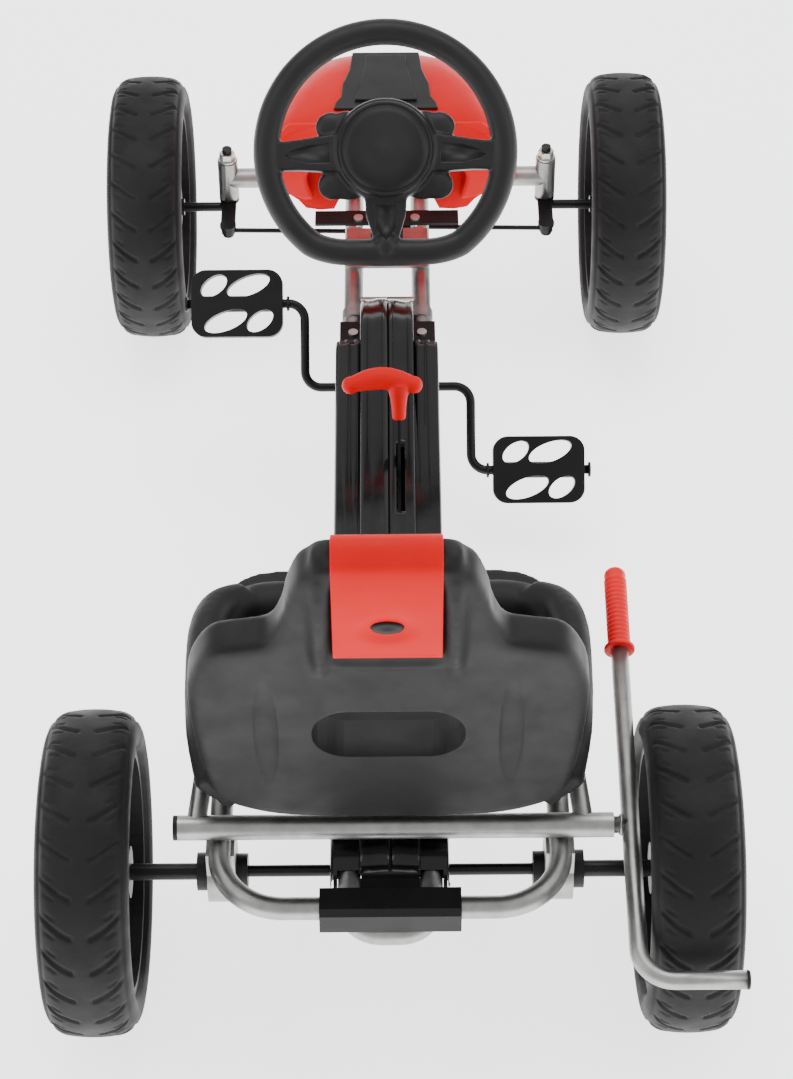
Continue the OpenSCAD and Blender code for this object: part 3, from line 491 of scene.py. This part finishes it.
# Each spoke: its angle in degrees, half width at the root and at the tip, reach, and end of its hollow
SPOKES = ((-3, 0.0185, 0.0135, 0.108, 0.097), (183, 0.0185, 0.0135, 0.108, 0.097),
          (-90, 0.021, 0.0115, 0.094, 0.088))
for angle, root, tip, reach, _ in SPOKES:
    spoke_outline = [(0.03, -root), (0.062, -root * 0.92), (0.084, -tip * 1.08), (reach, -tip),
                     (reach, tip), (0.084, tip * 1.08), (0.062, root * 0.92), (0.03, root)]
    spoke = slab("spoke", spoke_outline, -0.006, 0.0085)
    spoke.data.transform(Matrix.Rotation(math.radians(angle), 4, "Z"))
    wheel_bits.append(spoke)
wheel_bits.append(lens("spoke_tongue", Vector((0, -0.092, 0.004)), (0.0125, 0.0145, 0.0125)))
for x, y in ((0.052, 0.023), (-0.052, 0.023), (0.05, -0.033), (-0.05, -0.033)):
    wheel_bits.append(lens("hub_lobe", Vector((x, y, 0.0)), (0.0155, 0.0145, 0.006)))
    wheel_bits.append(lens("hub_web", Vector((x * 0.72, y * 0.9, 0.0)), (0.02, 0.018, 0.006)))
wheel_skin = melt(join("steering_wheel_skin", wheel_bits), 0.0016, 5)
for angle, root, _, _, end in SPOKES:
    wide = root * 0.5
    hollow_outline = [(0.0535, -wide), (0.075, -wide * 0.9), (end - 0.006, -wide * 0.45), (end, 0),
                      (end - 0.006, wide * 0.45), (0.075, wide * 0.9), (0.0535, wide)]
    hollow = slab("spoke_hollow", hollow_outline, 0.0062, 0.03)
    hollow.data.transform(Matrix.Rotation(math.radians(angle), 4, "Z"))
    cut(wheel_skin, hollow)
shade_smooth(wheel_skin.data)
finish_piece(on_wheel(wheel_skin), "steering", "wheel_grip", "steering_wheel", "hub_studs")
pad_profile = [(0.01, 0.0), (0.01, 0.0465), (0.0145, 0.046), (0.0165, 0.0445), (0.0172, 0.0432),
               (0.0162, 0.0422), (0.0162, 0.0412), (0.0178, 0.0402), (0.0196, 0.034), (0.0208, 0.02),
               (0.0212, 0.0)]
pad = lathe("hub_pad_cap", pad_profile, Vector(), UP, 96)
finish_piece(on_wheel(pad), "steering", "black_plastic", "hub_pad")


# ---------- Bent rods, brake lever and grip ----------

low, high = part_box("crank_rod")
crank_place = joint_place("crank_spin")
left_pedal = joint_place("pedal_left_spin")
right_pedal = joint_place("pedal_right_spin")
ARM_X = 0.0865
CRANK_R = 0.00475
WASHER_X = 0.0532
crank_path = rounded_path([
    Vector((low.x + 0.001, left_pedal.y, left_pedal.z)), Vector((-ARM_X, left_pedal.y, left_pedal.z)),
    Vector((-ARM_X, crank_place.y, crank_place.z)), Vector((ARM_X, crank_place.y, crank_place.z)),
    Vector((ARM_X, right_pedal.y, right_pedal.z)), Vector((high.x - 0.001, right_pedal.y, right_pedal.z)),
], 0.017)
crank_bits = [sweep("crank_rod_bend", crank_path, CRANK_R, 24)]
washer_profile = [(-0.0014, 0.006), (-0.0012, 0.0078), (0.0012, 0.0078), (0.0014, 0.006)]
for pedal_place in (left_pedal, right_pedal):
    for offset in (-WASHER_X, WASHER_X):
        washer_place = pedal_place + Vector((offset, 0, 0))
        crank_bits.append(lathe("pedal_washer", washer_profile, washer_place, RIGHT, 32))
finish_piece(join("crank_rod_round", crank_bits), "crank", "black_steel", "crank_rod")

brake_pivot = joint_place("brake_pull")
low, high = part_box("brake_lever")
cap_low, cap_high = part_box("brake_end_cap")
bar_centre = (cap_low + cap_high) / 2
LEVER_R = 0.008
PIN_R = 0.0074
GRIP_END = 0.004
bar_end = Vector((cap_low.x, bar_centre.y, bar_centre.z))
corner = Vector((brake_pivot.x, bar_centre.y, bar_centre.z))
lever_dir = (brake_pivot - corner).normalized()
lever_length = (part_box("brake_grip")[1].y - corner.y) / lever_dir.y - GRIP_END
lever_path = rounded_path([bar_end, corner, corner + lever_dir * lever_length], 0.03, 16)
lever_bits = [sweep("lever_tube", lever_path, LEVER_R, 40)]
lever_bits.append(lathe("lever_pivot_pin", [(low.x, PIN_R), (brake_pivot.x + 0.002, PIN_R)],
                        Vector((0, brake_pivot.y, brake_pivot.z)), RIGHT, 40))
weld = [(-0.0105 + 0.0007 * i, LEVER_R + 0.0018 * math.sin(math.pi * i / 6)) for i in range(7)]
lever_bits.append(lathe("lever_weld", weld, brake_pivot, RIGHT, 40))
finish_piece(join("brake_lever_tube", lever_bits), "brake_lever", "steel_tube", "brake_lever")
cap_profile = [(0, 0.0081), (0.001, 0.0084), (0.0022, 0.0082), (0.0028, 0.0072), (0.003, 0.0)]
end_cap = lathe("bar_end_cap", cap_profile, bar_end, RIGHT)
finish_piece(end_cap, "brake_lever", "black_plastic", "brake_end_cap")

GRIP_LENGTH = 0.092
grip_start = corner + lever_dir * (lever_length + GRIP_END - GRIP_LENGTH)
# Flange and neck, then ribs, then a round end
grip_profile = [(0, 0.0082), (0, 0.0132), (0.0008, 0.0141), (0.0032, 0.0141), (0.0042, 0.0132),
                (0.0052, 0.0104)]
rib = 0.0078
while rib < GRIP_LENGTH - 0.014:
    for offset, radius in ((0, 0.0099), (0.0006, 0.0105), (0.0026, 0.0105), (0.0032, 0.0099)):
        grip_profile.append((rib + offset, radius))
    rib += 0.0048
for i in range(9):
    angle = math.pi / 2 * i / 8
    grip_profile.append((GRIP_LENGTH - 0.008 + 0.008 * math.sin(angle), 0.0003 + 0.0098 * math.cos(angle)))
grip = lathe("ribbed_grip", grip_profile, grip_start, lever_dir, 72)
finish_piece(grip, "brake_lever", "red_grip", "brake_grip")


# ---------- Pedals ----------

PEDAL_W, PEDAL_L, PEDAL_T = 0.097, 0.070, 0.020


def round_box(width, length, radius, steps=8, bulge=0.0):
    """Outline of a box with round corners, its short sides bulging a little."""
    outline = []
    for cx, cy, start in ((1, 1, 0), (-1, 1, 90), (-1, -1, 180), (1, -1, 270)):
        for k in range(steps + 1):
            angle = math.radians(start + 90 * k / steps)
            x = cx * (width / 2 - radius) + radius * math.cos(angle)
            y = cy * (length / 2 - radius) + radius * math.sin(angle)
            outline.append((x + bulge * cx * (1 - (2 * y / length) ** 2), y))
    return outline


def turned_oval(x, y, turn, half_length, half_width, steps=40):
    """Oval outline round (x, y), its length turned by turn degrees."""
    cos_turn, sin_turn = math.cos(math.radians(turn)), math.sin(math.radians(turn))
    outline = []
    for k in range(steps):
        angle = 2 * math.pi * k / steps
        along, over = half_length * math.cos(angle), half_width * math.sin(angle)
        outline.append((x + along * cos_turn - over * sin_turn, y + along * sin_turn + over * cos_turn))
    return outline


# Place, turn in degrees and half sizes of each hole
PEDAL_HOLES = ((-0.024, 0.0185, 35, 0.0155, 0.0092), (0.012, 0.0185, 20, 0.0235, 0.0100),
               (0.024, -0.0185, 35, 0.0155, 0.0092), (-0.012, -0.0185, 20, 0.0235, 0.0100))


def make_pedal(body, place):
    outline = round_box(PEDAL_W - 0.004, PEDAL_L, 0.014, bulge=0.002)
    plate = slab("pedal_plate", outline, -PEDAL_T / 2, PEDAL_T / 2)
    for hole in PEDAL_HOLES:
        cut(plate, slab("pedal_hole", turned_oval(*hole), -0.03, 0.03))
    bore = lathe("pedal_bore", [(-0.06, 0.0049), (0.06, 0.0049)], Vector(), RIGHT, 32)
    tube_profile = [(-0.0465, 0.008), (-0.0455, 0.0085), (0.0455, 0.0085), (0.0465, 0.008)]
    tube = lathe("pedal_tube", tube_profile, Vector(), RIGHT, 40)
    whole = plate.modifiers.new("tube", "BOOLEAN")
    whole.operation = "UNION"
    whole.solver = "EXACT"
    whole.object = tube
    apply_modifiers(plate)
    bpy.data.objects.remove(tube)
    cut(plate, bore)
    add_bevel(plate, "round", 0.0013, 3, 50)
    apply_modifiers(plate)
    plate.data.transform(Matrix.Translation(place) @ Matrix.Rotation(math.radians(45), 4, "X"))
    plate.name = body + "_body"
    finish_piece(plate, body, "black_plastic", body)


make_pedal("pedal_left", left_pedal)
make_pedal("pedal_right", right_pedal)


# ---------- Gear handle ----------

handle_low, handle_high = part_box("gear_handle")
gear_place = joint_place("gear_shift")
lean = math.radians(22.4)
gear_up = Vector((0, math.sin(lean), math.cos(lean)))
gear_top = gear_place + gear_up * 0.143
arch = []
for k in range(25):
    t = k / 24
    x = handle_low.x + 0.008 + (handle_high.x - handle_low.x - 0.016) * t
    arch.append(Vector((x, gear_top.y, gear_top.z)) + gear_up * (0.007 * math.sin(math.pi * t) - 0.006))
widths = [0.0075 + 0.0035 * math.sin(math.pi * k / 24) for k in range(25)]
handle_bits = [sweep("handle_arch", arch, widths, 28)]
handle_bits.append(lens("handle_left_end", arch[0], (0.0085, 0.009, 0.0085)))
handle_bits.append(lens("handle_right_end", arch[-1], (0.0085, 0.009, 0.0085)))
# Height of each ring of the stem above the joint, with its radius
STEM = ((0.102, 0.0068), (0.112, 0.0072), (0.122, 0.0082), (0.132, 0.0105), (0.14, 0.0125))
stem = [gear_place + gear_up * height for height, _ in STEM]
handle_bits.append(sweep("handle_stem", stem, [radius for _, radius in STEM], 28))
handle_skin = melt(join("gear_handle_skin", handle_bits), 0.0012, 6)
finish_piece(handle_skin, "gear_lever", "red_plastic", "gear_handle")


# ---------- Seat ----------

shell_low, shell_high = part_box("seat_shell")
BACK_LEAN = math.radians(7)
BACK_T = 0.042
back_foot = Vector((0, shell_low.y, 0.230))
panel_low, panel_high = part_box("head_panel")
back_top = (panel_high.z - back_foot.z) / math.cos(BACK_LEAN) - 0.004
back_foot.y = panel_low.y + (panel_high.z - back_foot.z) * math.tan(BACK_LEAN)
back_frame = Matrix.Translation(back_foot) @ Matrix.Rotation(BACK_LEAN, 4, "X")


def curve_through(points, steps=6):
    """Smooth outline through points, as a Catmull-Rom curve."""
    outline = []
    for i in range(len(points) - 1):
        p0, p1 = points[max(0, i - 1)], points[i]
        p2, p3 = points[i + 1], points[min(len(points) - 1, i + 2)]
        for k in range(steps):
            t = k / steps
            outline.append(tuple(
                0.5 * (2 * b + (c - a) * t + (2 * a - 5 * b + 4 * c - d) * t * t
                       + (3 * b - a - 3 * c + d) * t ** 3)
                for a, b, c, d in zip(p0, p1, p2, p3)))
    outline.append(points[-1])
    return outline


def upright(obj):
    """Stands a plate drawn in x and y up, its thickness running forward."""
    obj.data.transform(Matrix.Rotation(math.radians(90), 4, "X"))
    return obj


back_side = curve_through([
    (0, 0.002), (0.06, 0.003), (0.105, 0.009), (0.143, 0.03), (0.157, 0.07), (0.163, 0.13), (0.1645, 0.19),
    (0.158, 0.222), (0.142, 0.247), (0.115, 0.2535), (0.096, 0.26), (0.085, 0.285), (0.079, 0.315),
    (0.071, 0.338), (0.062, back_top - 0.012), (0.05, back_top - 0.004), (0.0, back_top - 0.004),
])
back_outline = back_side + mirrored(back_side[1:-1])
back_plate = upright(slab("back_plate", back_outline, -BACK_T + 0.003, -0.002))
add_bevel(back_plate, "round", 0.013, 4, 60)
apply_modifiers(back_plate)
seat_bits = [back_plate]
for side in (-1, 1):
    post = [(side * 0.054, 0.006, 0.222), (side * 0.0545, -0.0005, 0.262), (side * 0.054, -0.001, 0.31),
            (side * 0.0535, 0.006, back_top - 0.02), (side * 0.0535, 0.02, back_top - 0.0075),
            (side * 0.0535, 0.034, back_top - 0.018)]
    path = [Vector(point) for point in curve_through(post)]
    seat_bits.append(sweep("head_post", path, [0.0075] * len(path), 20))
saddle_line = [(-0.054, 0.0045, 0.25), (-0.046, 0.004, 0.237), (-0.03, 0.004, 0.2325),
               (0.03, 0.004, 0.2325), (0.046, 0.004, 0.237), (0.054, 0.0045, 0.25)]
saddle = [Vector(point) for point in curve_through(saddle_line)]
seat_bits.append(sweep("head_saddle", saddle, [0.0055] * len(saddle), 16))
for bit in seat_bits:
    bit.data.transform(back_frame)
pan_y0, pan_y1 = back_foot.y + 0.02, shell_high.y
pan = slab("seat_pan", round_box(0.31, pan_y1 - pan_y0, 0.05), 0.0355, 0.0535)
pan.data.transform(Matrix.Translation((0, (pan_y0 + pan_y1) / 2, 0.2)))
seat_bits.append(pan)
wing_line = [(0.150, pan_y0 - 0.008, 0.268), (0.160, pan_y0 + 0.04, 0.281), (0.1635, pan_y0 + 0.10, 0.286),
             (0.163, pan_y0 + 0.16, 0.283), (0.154, pan_y0 + 0.198, 0.273), (0.134, pan_y0 + 0.218, 0.262)]
for side in (-1, 1):
    path = [Vector((side * x, y, z)) for x, y, z in curve_through(wing_line)]
    seat_bits.append(sweep("wing_roll", path, [0.0165] * len(path), 24))
    low_path = [Vector((side * (abs(p.x) - 0.012), p.y, 0.2455)) for p in path]
    seat_bits.append(sweep("wing_foot", low_path, [0.0095] * len(low_path), 20))
    fill = [Vector((side * (abs(p.x) - 0.007), p.y, 0.262)) for p in path]
    seat_bits.append(sweep("wing_fill", fill, [0.0155] * len(fill), 20))
    front_place = Vector((side * 0.108, pan_y0 + 0.222, 0.256))
    seat_bits.append(lens("wing_front", front_place, (0.046, 0.02, 0.016), side * -0.12))
seat_skin = melt(join("seat_skin", seat_bits), 0.0032, 7)
slot_outline = round_box(0.128, 0.066, 0.031, steps=10)
hand_slot = upright(slab("hand_slot", slot_outline, -0.08, 0.03))
hand_slot.data.transform(back_frame @ Matrix.Translation((0, 0, 0.133)))
cut(seat_skin, hand_slot)
for side in (-1, 1):
    pocket = lens("wing_pocket", Vector((side * 0.1615, pan_y0 + 0.125, 0.3055)), (0.0062, 0.032, 0.006))
    cut(seat_skin, pocket)
    channel = lens("back_channel", Vector((side * 0.102, 0.0, 0.135)), (0.012, 0.0042, 0.085))
    channel.data.transform(back_frame)
    cut(seat_skin, channel)
add_bevel(seat_skin, "lip", 0.0025, 3, 55)
apply_modifiers(seat_skin)
shade_smooth(seat_skin.data)
finish_piece(seat_skin, "chassis", "seat_plastic", "seat_shell")

# Red panel over the head: a band with a crease near the top and a dished rest for the plug
PANEL_HALF = (panel_high.x - panel_low.x) / 2 - 0.0035
BAND_ACROSS = 24
PLUG_Z = back_top - 0.071
profile = curve_through([
    (-0.0005, 0.247), (-0.0028, 0.262), (-0.003, 0.29), (-0.0015, 0.325), (0.004, back_top - 0.008),
    (0.013, back_top - 0.0005), (0.026, back_top + 0.0025), (0.036, back_top - 0.003),
    (0.0405, back_top - 0.014), (0.0425, 0.315), (0.0425, 0.25),
], 8)
band_points = []
for y, z in profile:
    for k in range(BAND_ACROSS + 1):
        x = PANEL_HALF * (2 * k / BAND_ACROSS - 1)
        dish = 0.0
        if y < 0.01:
            distance = math.hypot(x / 0.022, (z - PLUG_Z) / 0.016)
            dish = 0.0028 * (1 - smooth_step(0.6, 1.25, distance))
        band_points.append(Vector((x, y + dish, z)))
band = mesh_from("head_band", band_points, grid_faces(len(profile), BAND_ACROSS + 1))
thick = band.modifiers.new("thick", "SOLIDIFY")
thick.thickness = 0.0032
thick.offset = 0
add_bevel(band, "edge", 0.0011, 3, 50)
apply_modifiers(band)
band.data.transform(back_frame)
finish_piece(band, "chassis", "red_plastic", "head_panel")
plug_profile = [(-0.004, 0.0), (-0.004, 0.0068), (-0.0032, 0.0088), (-0.0016, 0.0096), (0, 0.0092),
                (0.003, 0.009)]
plug = lathe("panel_plug_cap", plug_profile, Vector(), FORWARD, 48)
plug.data.transform(Matrix.Diagonal((1.4, 1, 0.8, 1)))
plug.data.transform(back_frame @ Matrix.Translation((0, -0.0002, PLUG_Z)))
finish_piece(plug, "chassis", "black_plastic", "panel_plug")


# ---------- Chain guard ----------

rear_place = joint_place("rear_axle_spin")
NOSE_R, TAIL_R = 0.0885, 0.0445
guard_run = crank_place - rear_place
GUARD_TILT = (math.atan2(guard_run.z, guard_run.y)
              + math.asin((NOSE_R - TAIL_R) / math.hypot(guard_run.y, guard_run.z)))


def belt_top(y):
    """Height of the guard's top outline above the ground at y."""
    y_nose = crank_place.y - NOSE_R * math.sin(GUARD_TILT)
    y_tail = rear_place.y - TAIL_R * math.sin(GUARD_TILT)
    if y > y_nose:
        return crank_place.z + math.sqrt(max(0.0, NOSE_R ** 2 - (y - crank_place.y) ** 2))
    if y < y_tail:
        return rear_place.z + math.sqrt(max(0.0, TAIL_R ** 2 - (y - rear_place.y) ** 2))
    z_tail = rear_place.z + TAIL_R * math.cos(GUARD_TILT)
    return z_tail + (y - y_tail) * math.tan(GUARD_TILT)


def guard_outline(last_y, nose_angle=None):
    """Places and outward directions along the guard's top, from the tail forward and round the nose."""
    outline = []
    start = rear_place.y - 0.03
    top_y = min(last_y, crank_place.y - NOSE_R * math.sin(GUARD_TILT))
    top_out = Vector((0, -math.sin(GUARD_TILT), math.cos(GUARD_TILT)))
    for i in range(81):
        y = start + (top_y - start) * i / 80
        outline.append((Vector((0, y, belt_top(y))), top_out))
    if nose_angle is not None:
        first = math.pi / 2 + GUARD_TILT
        nose_centre = Vector((0, crank_place.y, crank_place.z))
        for i in range(1, 41):
            angle = first + (nose_angle - first) * i / 40
            out = Vector((0, math.cos(angle), math.sin(angle)))
            outline.append((nose_centre + out * NOSE_R, out))
    return outline


def guard_strip(name, side, outline, section, foot):
    """Section of (x, rise) points drawn along the outline, never lower than foot."""
    points = []
    for place, out in outline:
        for x, rise in section:
            point = place + out * rise
            points.append(Vector((side * x, point.y, max(point.z, foot))))
    strip = mesh_from(name, points, grid_faces(len(outline), len(section)))
    shell = strip.modifiers.new("shell", "SOLIDIFY")
    shell.thickness = 0.0012
    shell.offset = -side
    apply_modifiers(strip)
    return strip


def make_guard(side):
    """Moulded cover of one half: a crowned ridge over the chain and a ribbed shoulder over the rail."""
    ridge = [(0.0002, 0.0032), (0.006, 0.0031), (0.0115, 0.0026), (0.0155, 0.0016), (0.018, 0.0011),
             (0.0205, 0.0012), (0.0235, 0.0015), (0.0256, 0.001), (0.0266, -0.0012), (0.0268, -0.0085)]
    shoulder = [(0.0268, -0.0084), (0.029, -0.0078), (0.0315, -0.0062), (0.034, -0.0077), (0.0385, -0.0079),
                (0.041, -0.0063), (0.0435, -0.0078), (0.0482, -0.0086), (0.0507, -0.0098), (0.0517, -0.0125),
                (0.052, -0.018), (0.052, -0.03), (0.052, -0.06), (0.052, -0.075)]
    ridge_outline = guard_outline(1.0, math.radians(-40))
    shoulder_outline = guard_outline(crank_place.y - 0.0185)
    parts = [guard_strip("guard_ridge", side, ridge_outline, ridge, 0.0),
             guard_strip("guard_shoulder", side, shoulder_outline, shoulder, 0.156)]
    return join("guard_cover", parts)


slot_back, slot_front = gear_place.y - 0.0465, gear_place.y + 0.0445
slot_inner, slot_outer = 0.0078, 0.0168
for side in (-1, 1):
    cover = make_guard(side)
    if side > 0:
        lever_slot = slab("lever_slot", [(slot_inner, slot_back), (slot_outer, slot_back),
                                         (slot_outer, slot_front), (slot_inner, slot_front)], 0.17, 0.3)
        cut(cover, lever_slot)
    finish_piece(cover, "chassis", "guard_plastic")


# ---------- Fairing ----------

hood_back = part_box("fairing")[0].y
insert_low, insert_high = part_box("hood_insert")
HOOD_TOP = insert_low.z
# Distance of each row from the back of the hood, with its half section from the wing's hem to the middle
HOOD_ROWS = (
    (0.006, [(0.075, 0.247), (0.080, 0.262), (0.086, 0.277), (0.084, 0.292), (0.066, 0.303),
             (0.033, 0.309), (0, 0.311)]),
    (0.022, [(0.135, 0.262), (0.138, 0.277), (0.128, 0.294), (0.108, 0.306), (0.07, 0.317),
             (0.035, 0.322), (0, 0.323)]),
    (0.042, [(0.140, 0.256), (0.143, 0.276), (0.130, 0.303), (0.104, 0.324), (0.066, 0.3305),
             (0.033, 0.331), (0, 0.331)]),
    (0.085, [(0.138, 0.252), (0.140, 0.272), (0.119, 0.305), (0.090, 0.3265), (0.058, 0.3305),
             (0.029, 0.331), (0, 0.331)]),
    (0.150, [(0.127, 0.25), (0.127, 0.266), (0.104, 0.298), (0.072, 0.322), (0.046, 0.327),
             (0.023, 0.328), (0, 0.328)]),
    (0.205, [(0.111, 0.25), (0.110, 0.258), (0.092, 0.276), (0.064, 0.293), (0.041, 0.3),
             (0.02, 0.302), (0, 0.302)]),
    (0.236, [(0.095, 0.25), (0.093, 0.253), (0.079, 0.261), (0.056, 0.268), (0.037, 0.271),
             (0.018, 0.272), (0, 0.272)]),
)
ROW_POINTS = 2 * len(HOOD_ROWS[0][1]) - 1
hood_points = []
for distance, half in HOOD_ROWS:
    line = [(-x, z) for x, z in half] + [(x, z) for x, z in reversed(half[:-1])]
    hood_points += [Vector((x, hood_back + distance, z)) for x, z in line]
hood = mesh_from("hood_skin", hood_points, grid_faces(len(HOOD_ROWS), ROW_POINTS))
soften = hood.modifiers.new("soften", "SUBSURF")
soften.levels = 3
soften.render_levels = 3
wall = hood.modifiers.new("wall", "SOLIDIFY")
wall.thickness = 0.003
wall.offset = -1
apply_modifiers(hood)
# Right half of the hood's back: its lower edge from the middle outward, then its upper edge inward
FACE_LOW, FACE_HIGH = 0.2375, 0.327
lower_edge = [(0.028, 0.276), (0.043, 0.266), (0.049, 0.252), (0.056, 0.239), (0.072, FACE_LOW),
              (0.086, 0.239), (0.094, 0.247), (0.120, 0.262), (0.139, 0.268)]
upper_edge = [(0.136, 0.288), (0.112, 0.318), (0.102, FACE_HIGH)]
back_face_outline = mirrored(lower_edge) + lower_edge + upper_edge + mirrored(upper_edge)
back_face = upright(slab("hood_back", back_face_outline, -0.003, 0.0))
for vertex in back_face.data.vertices:
    rise = (vertex.co.z - FACE_LOW) / (FACE_HIGH - FACE_LOW)
    vertex.co.y += hood_back + 0.006 + 0.034 * rise + 0.01 * (abs(vertex.co.x) / 0.14) ** 2 * (1 - rise)
hood_all = join("fairing_skin", [hood, back_face])
finish_piece(hood_all, "chassis", "red_plastic", "fairing")

insert_length = insert_high.y - insert_low.y + 0.017
insert_side = [(0.053, 0.012), (0.0475, 0.022), (0.046, 0.045), (0.039, 0.07), (0.036, insert_length)]
insert_outline = [(-0.0555, 0), (0.0555, 0)] + insert_side + mirrored(insert_side)
plate = slab("insert_plate", insert_outline, -0.0002, 0.0028)
raised = slab("insert_raised", [(x * 0.6, 0.012 + y * 0.8) for x, y in insert_outline], 0.002, 0.0055)
for bit in (plate, raised):
    rounding = bit.modifiers.new("round", "BEVEL")
    rounding.width = 0.0014
    rounding.segments = 3
    apply_modifiers(bit)
insert = join("hood_insert_plate", [plate, raised])
insert.data.transform(Matrix.Translation((0, insert_low.y - 0.0085, HOOD_TOP - 0.001)))
finish_piece(insert, "chassis", "black_plastic", "hood_insert")


# ---------- Studio ----------

FLOOR_HALF = 30
floor_corners = [(x * FLOOR_HALF, y * FLOOR_HALF, 0) for x, y in ((-1, -1), (1, -1), (1, 1), (-1, 1))]
floor_mesh = bpy.data.meshes.new("studio_floor")
floor_mesh.from_pydata(floor_corners, [], [(0, 1, 2, 3)])
floor = make_object("studio_floor", floor_mesh)
floor_material, _, floor_shader = new_material("pale_floor", (0.93, 0.93, 0.93), 0.85)
floor_shader.inputs["Emission Color"].default_value = (1, 1, 1, 1)
floor_shader.inputs["Emission Strength"].default_value = 2.2
floor.data.materials.append(floor_material)

world = bpy.data.worlds.new("studio_light")
bpy.context.scene.world = world
world.use_nodes = True
background = world.node_tree.nodes["Background"]
background.inputs["Color"].default_value = (1, 1, 1, 1)
background.inputs["Strength"].default_value = 0.85


def area_light(name, place, aim, size, power):
    data = bpy.data.lights.new(name, "AREA")
    data.shape = "RECTANGLE"
    data.size, data.size_y = size
    data.energy = power
    light = make_object(name, data)
    light.location = place
    light.rotation_euler = (Vector(aim) - Vector(place)).to_track_quat("-Z", "Y").to_euler()


area_light("overhead", (0, 0.6, 2.6), (0, 0, 0.2), (2.2, 1.4), 34)
area_light("left_strip", (-2.0, -0.6, 1.5), (0, -0.1, 0.3), (0.6, 2.2), 14)
area_light("right_strip", (2.0, -0.4, 1.5), (0, 0, 0.3), (0.6, 2.2), 14)
area_light("front_fill", (0, 2.4, 1.2), (0, 0.3, 0.3), (2.0, 0.8), 9)

# Camera: behind the kart, looking 45 degrees down along its length, placed by a fit to the photo
CAMERA_TILT, CAMERA_ROLL = math.radians(45), math.radians(-0.45)
camera = make_object("view_camera", bpy.data.cameras.new("view_camera"))
camera.location = (0.0077, -2.0722, 2.1695)
camera.rotation_mode = "QUATERNION"
camera.rotation_quaternion = Quaternion(RIGHT, CAMERA_TILT) @ Quaternion(UP, CAMERA_ROLL)
camera.data.sensor_width = 36
camera.data.lens = 96.3
bpy.context.scene.camera = camera
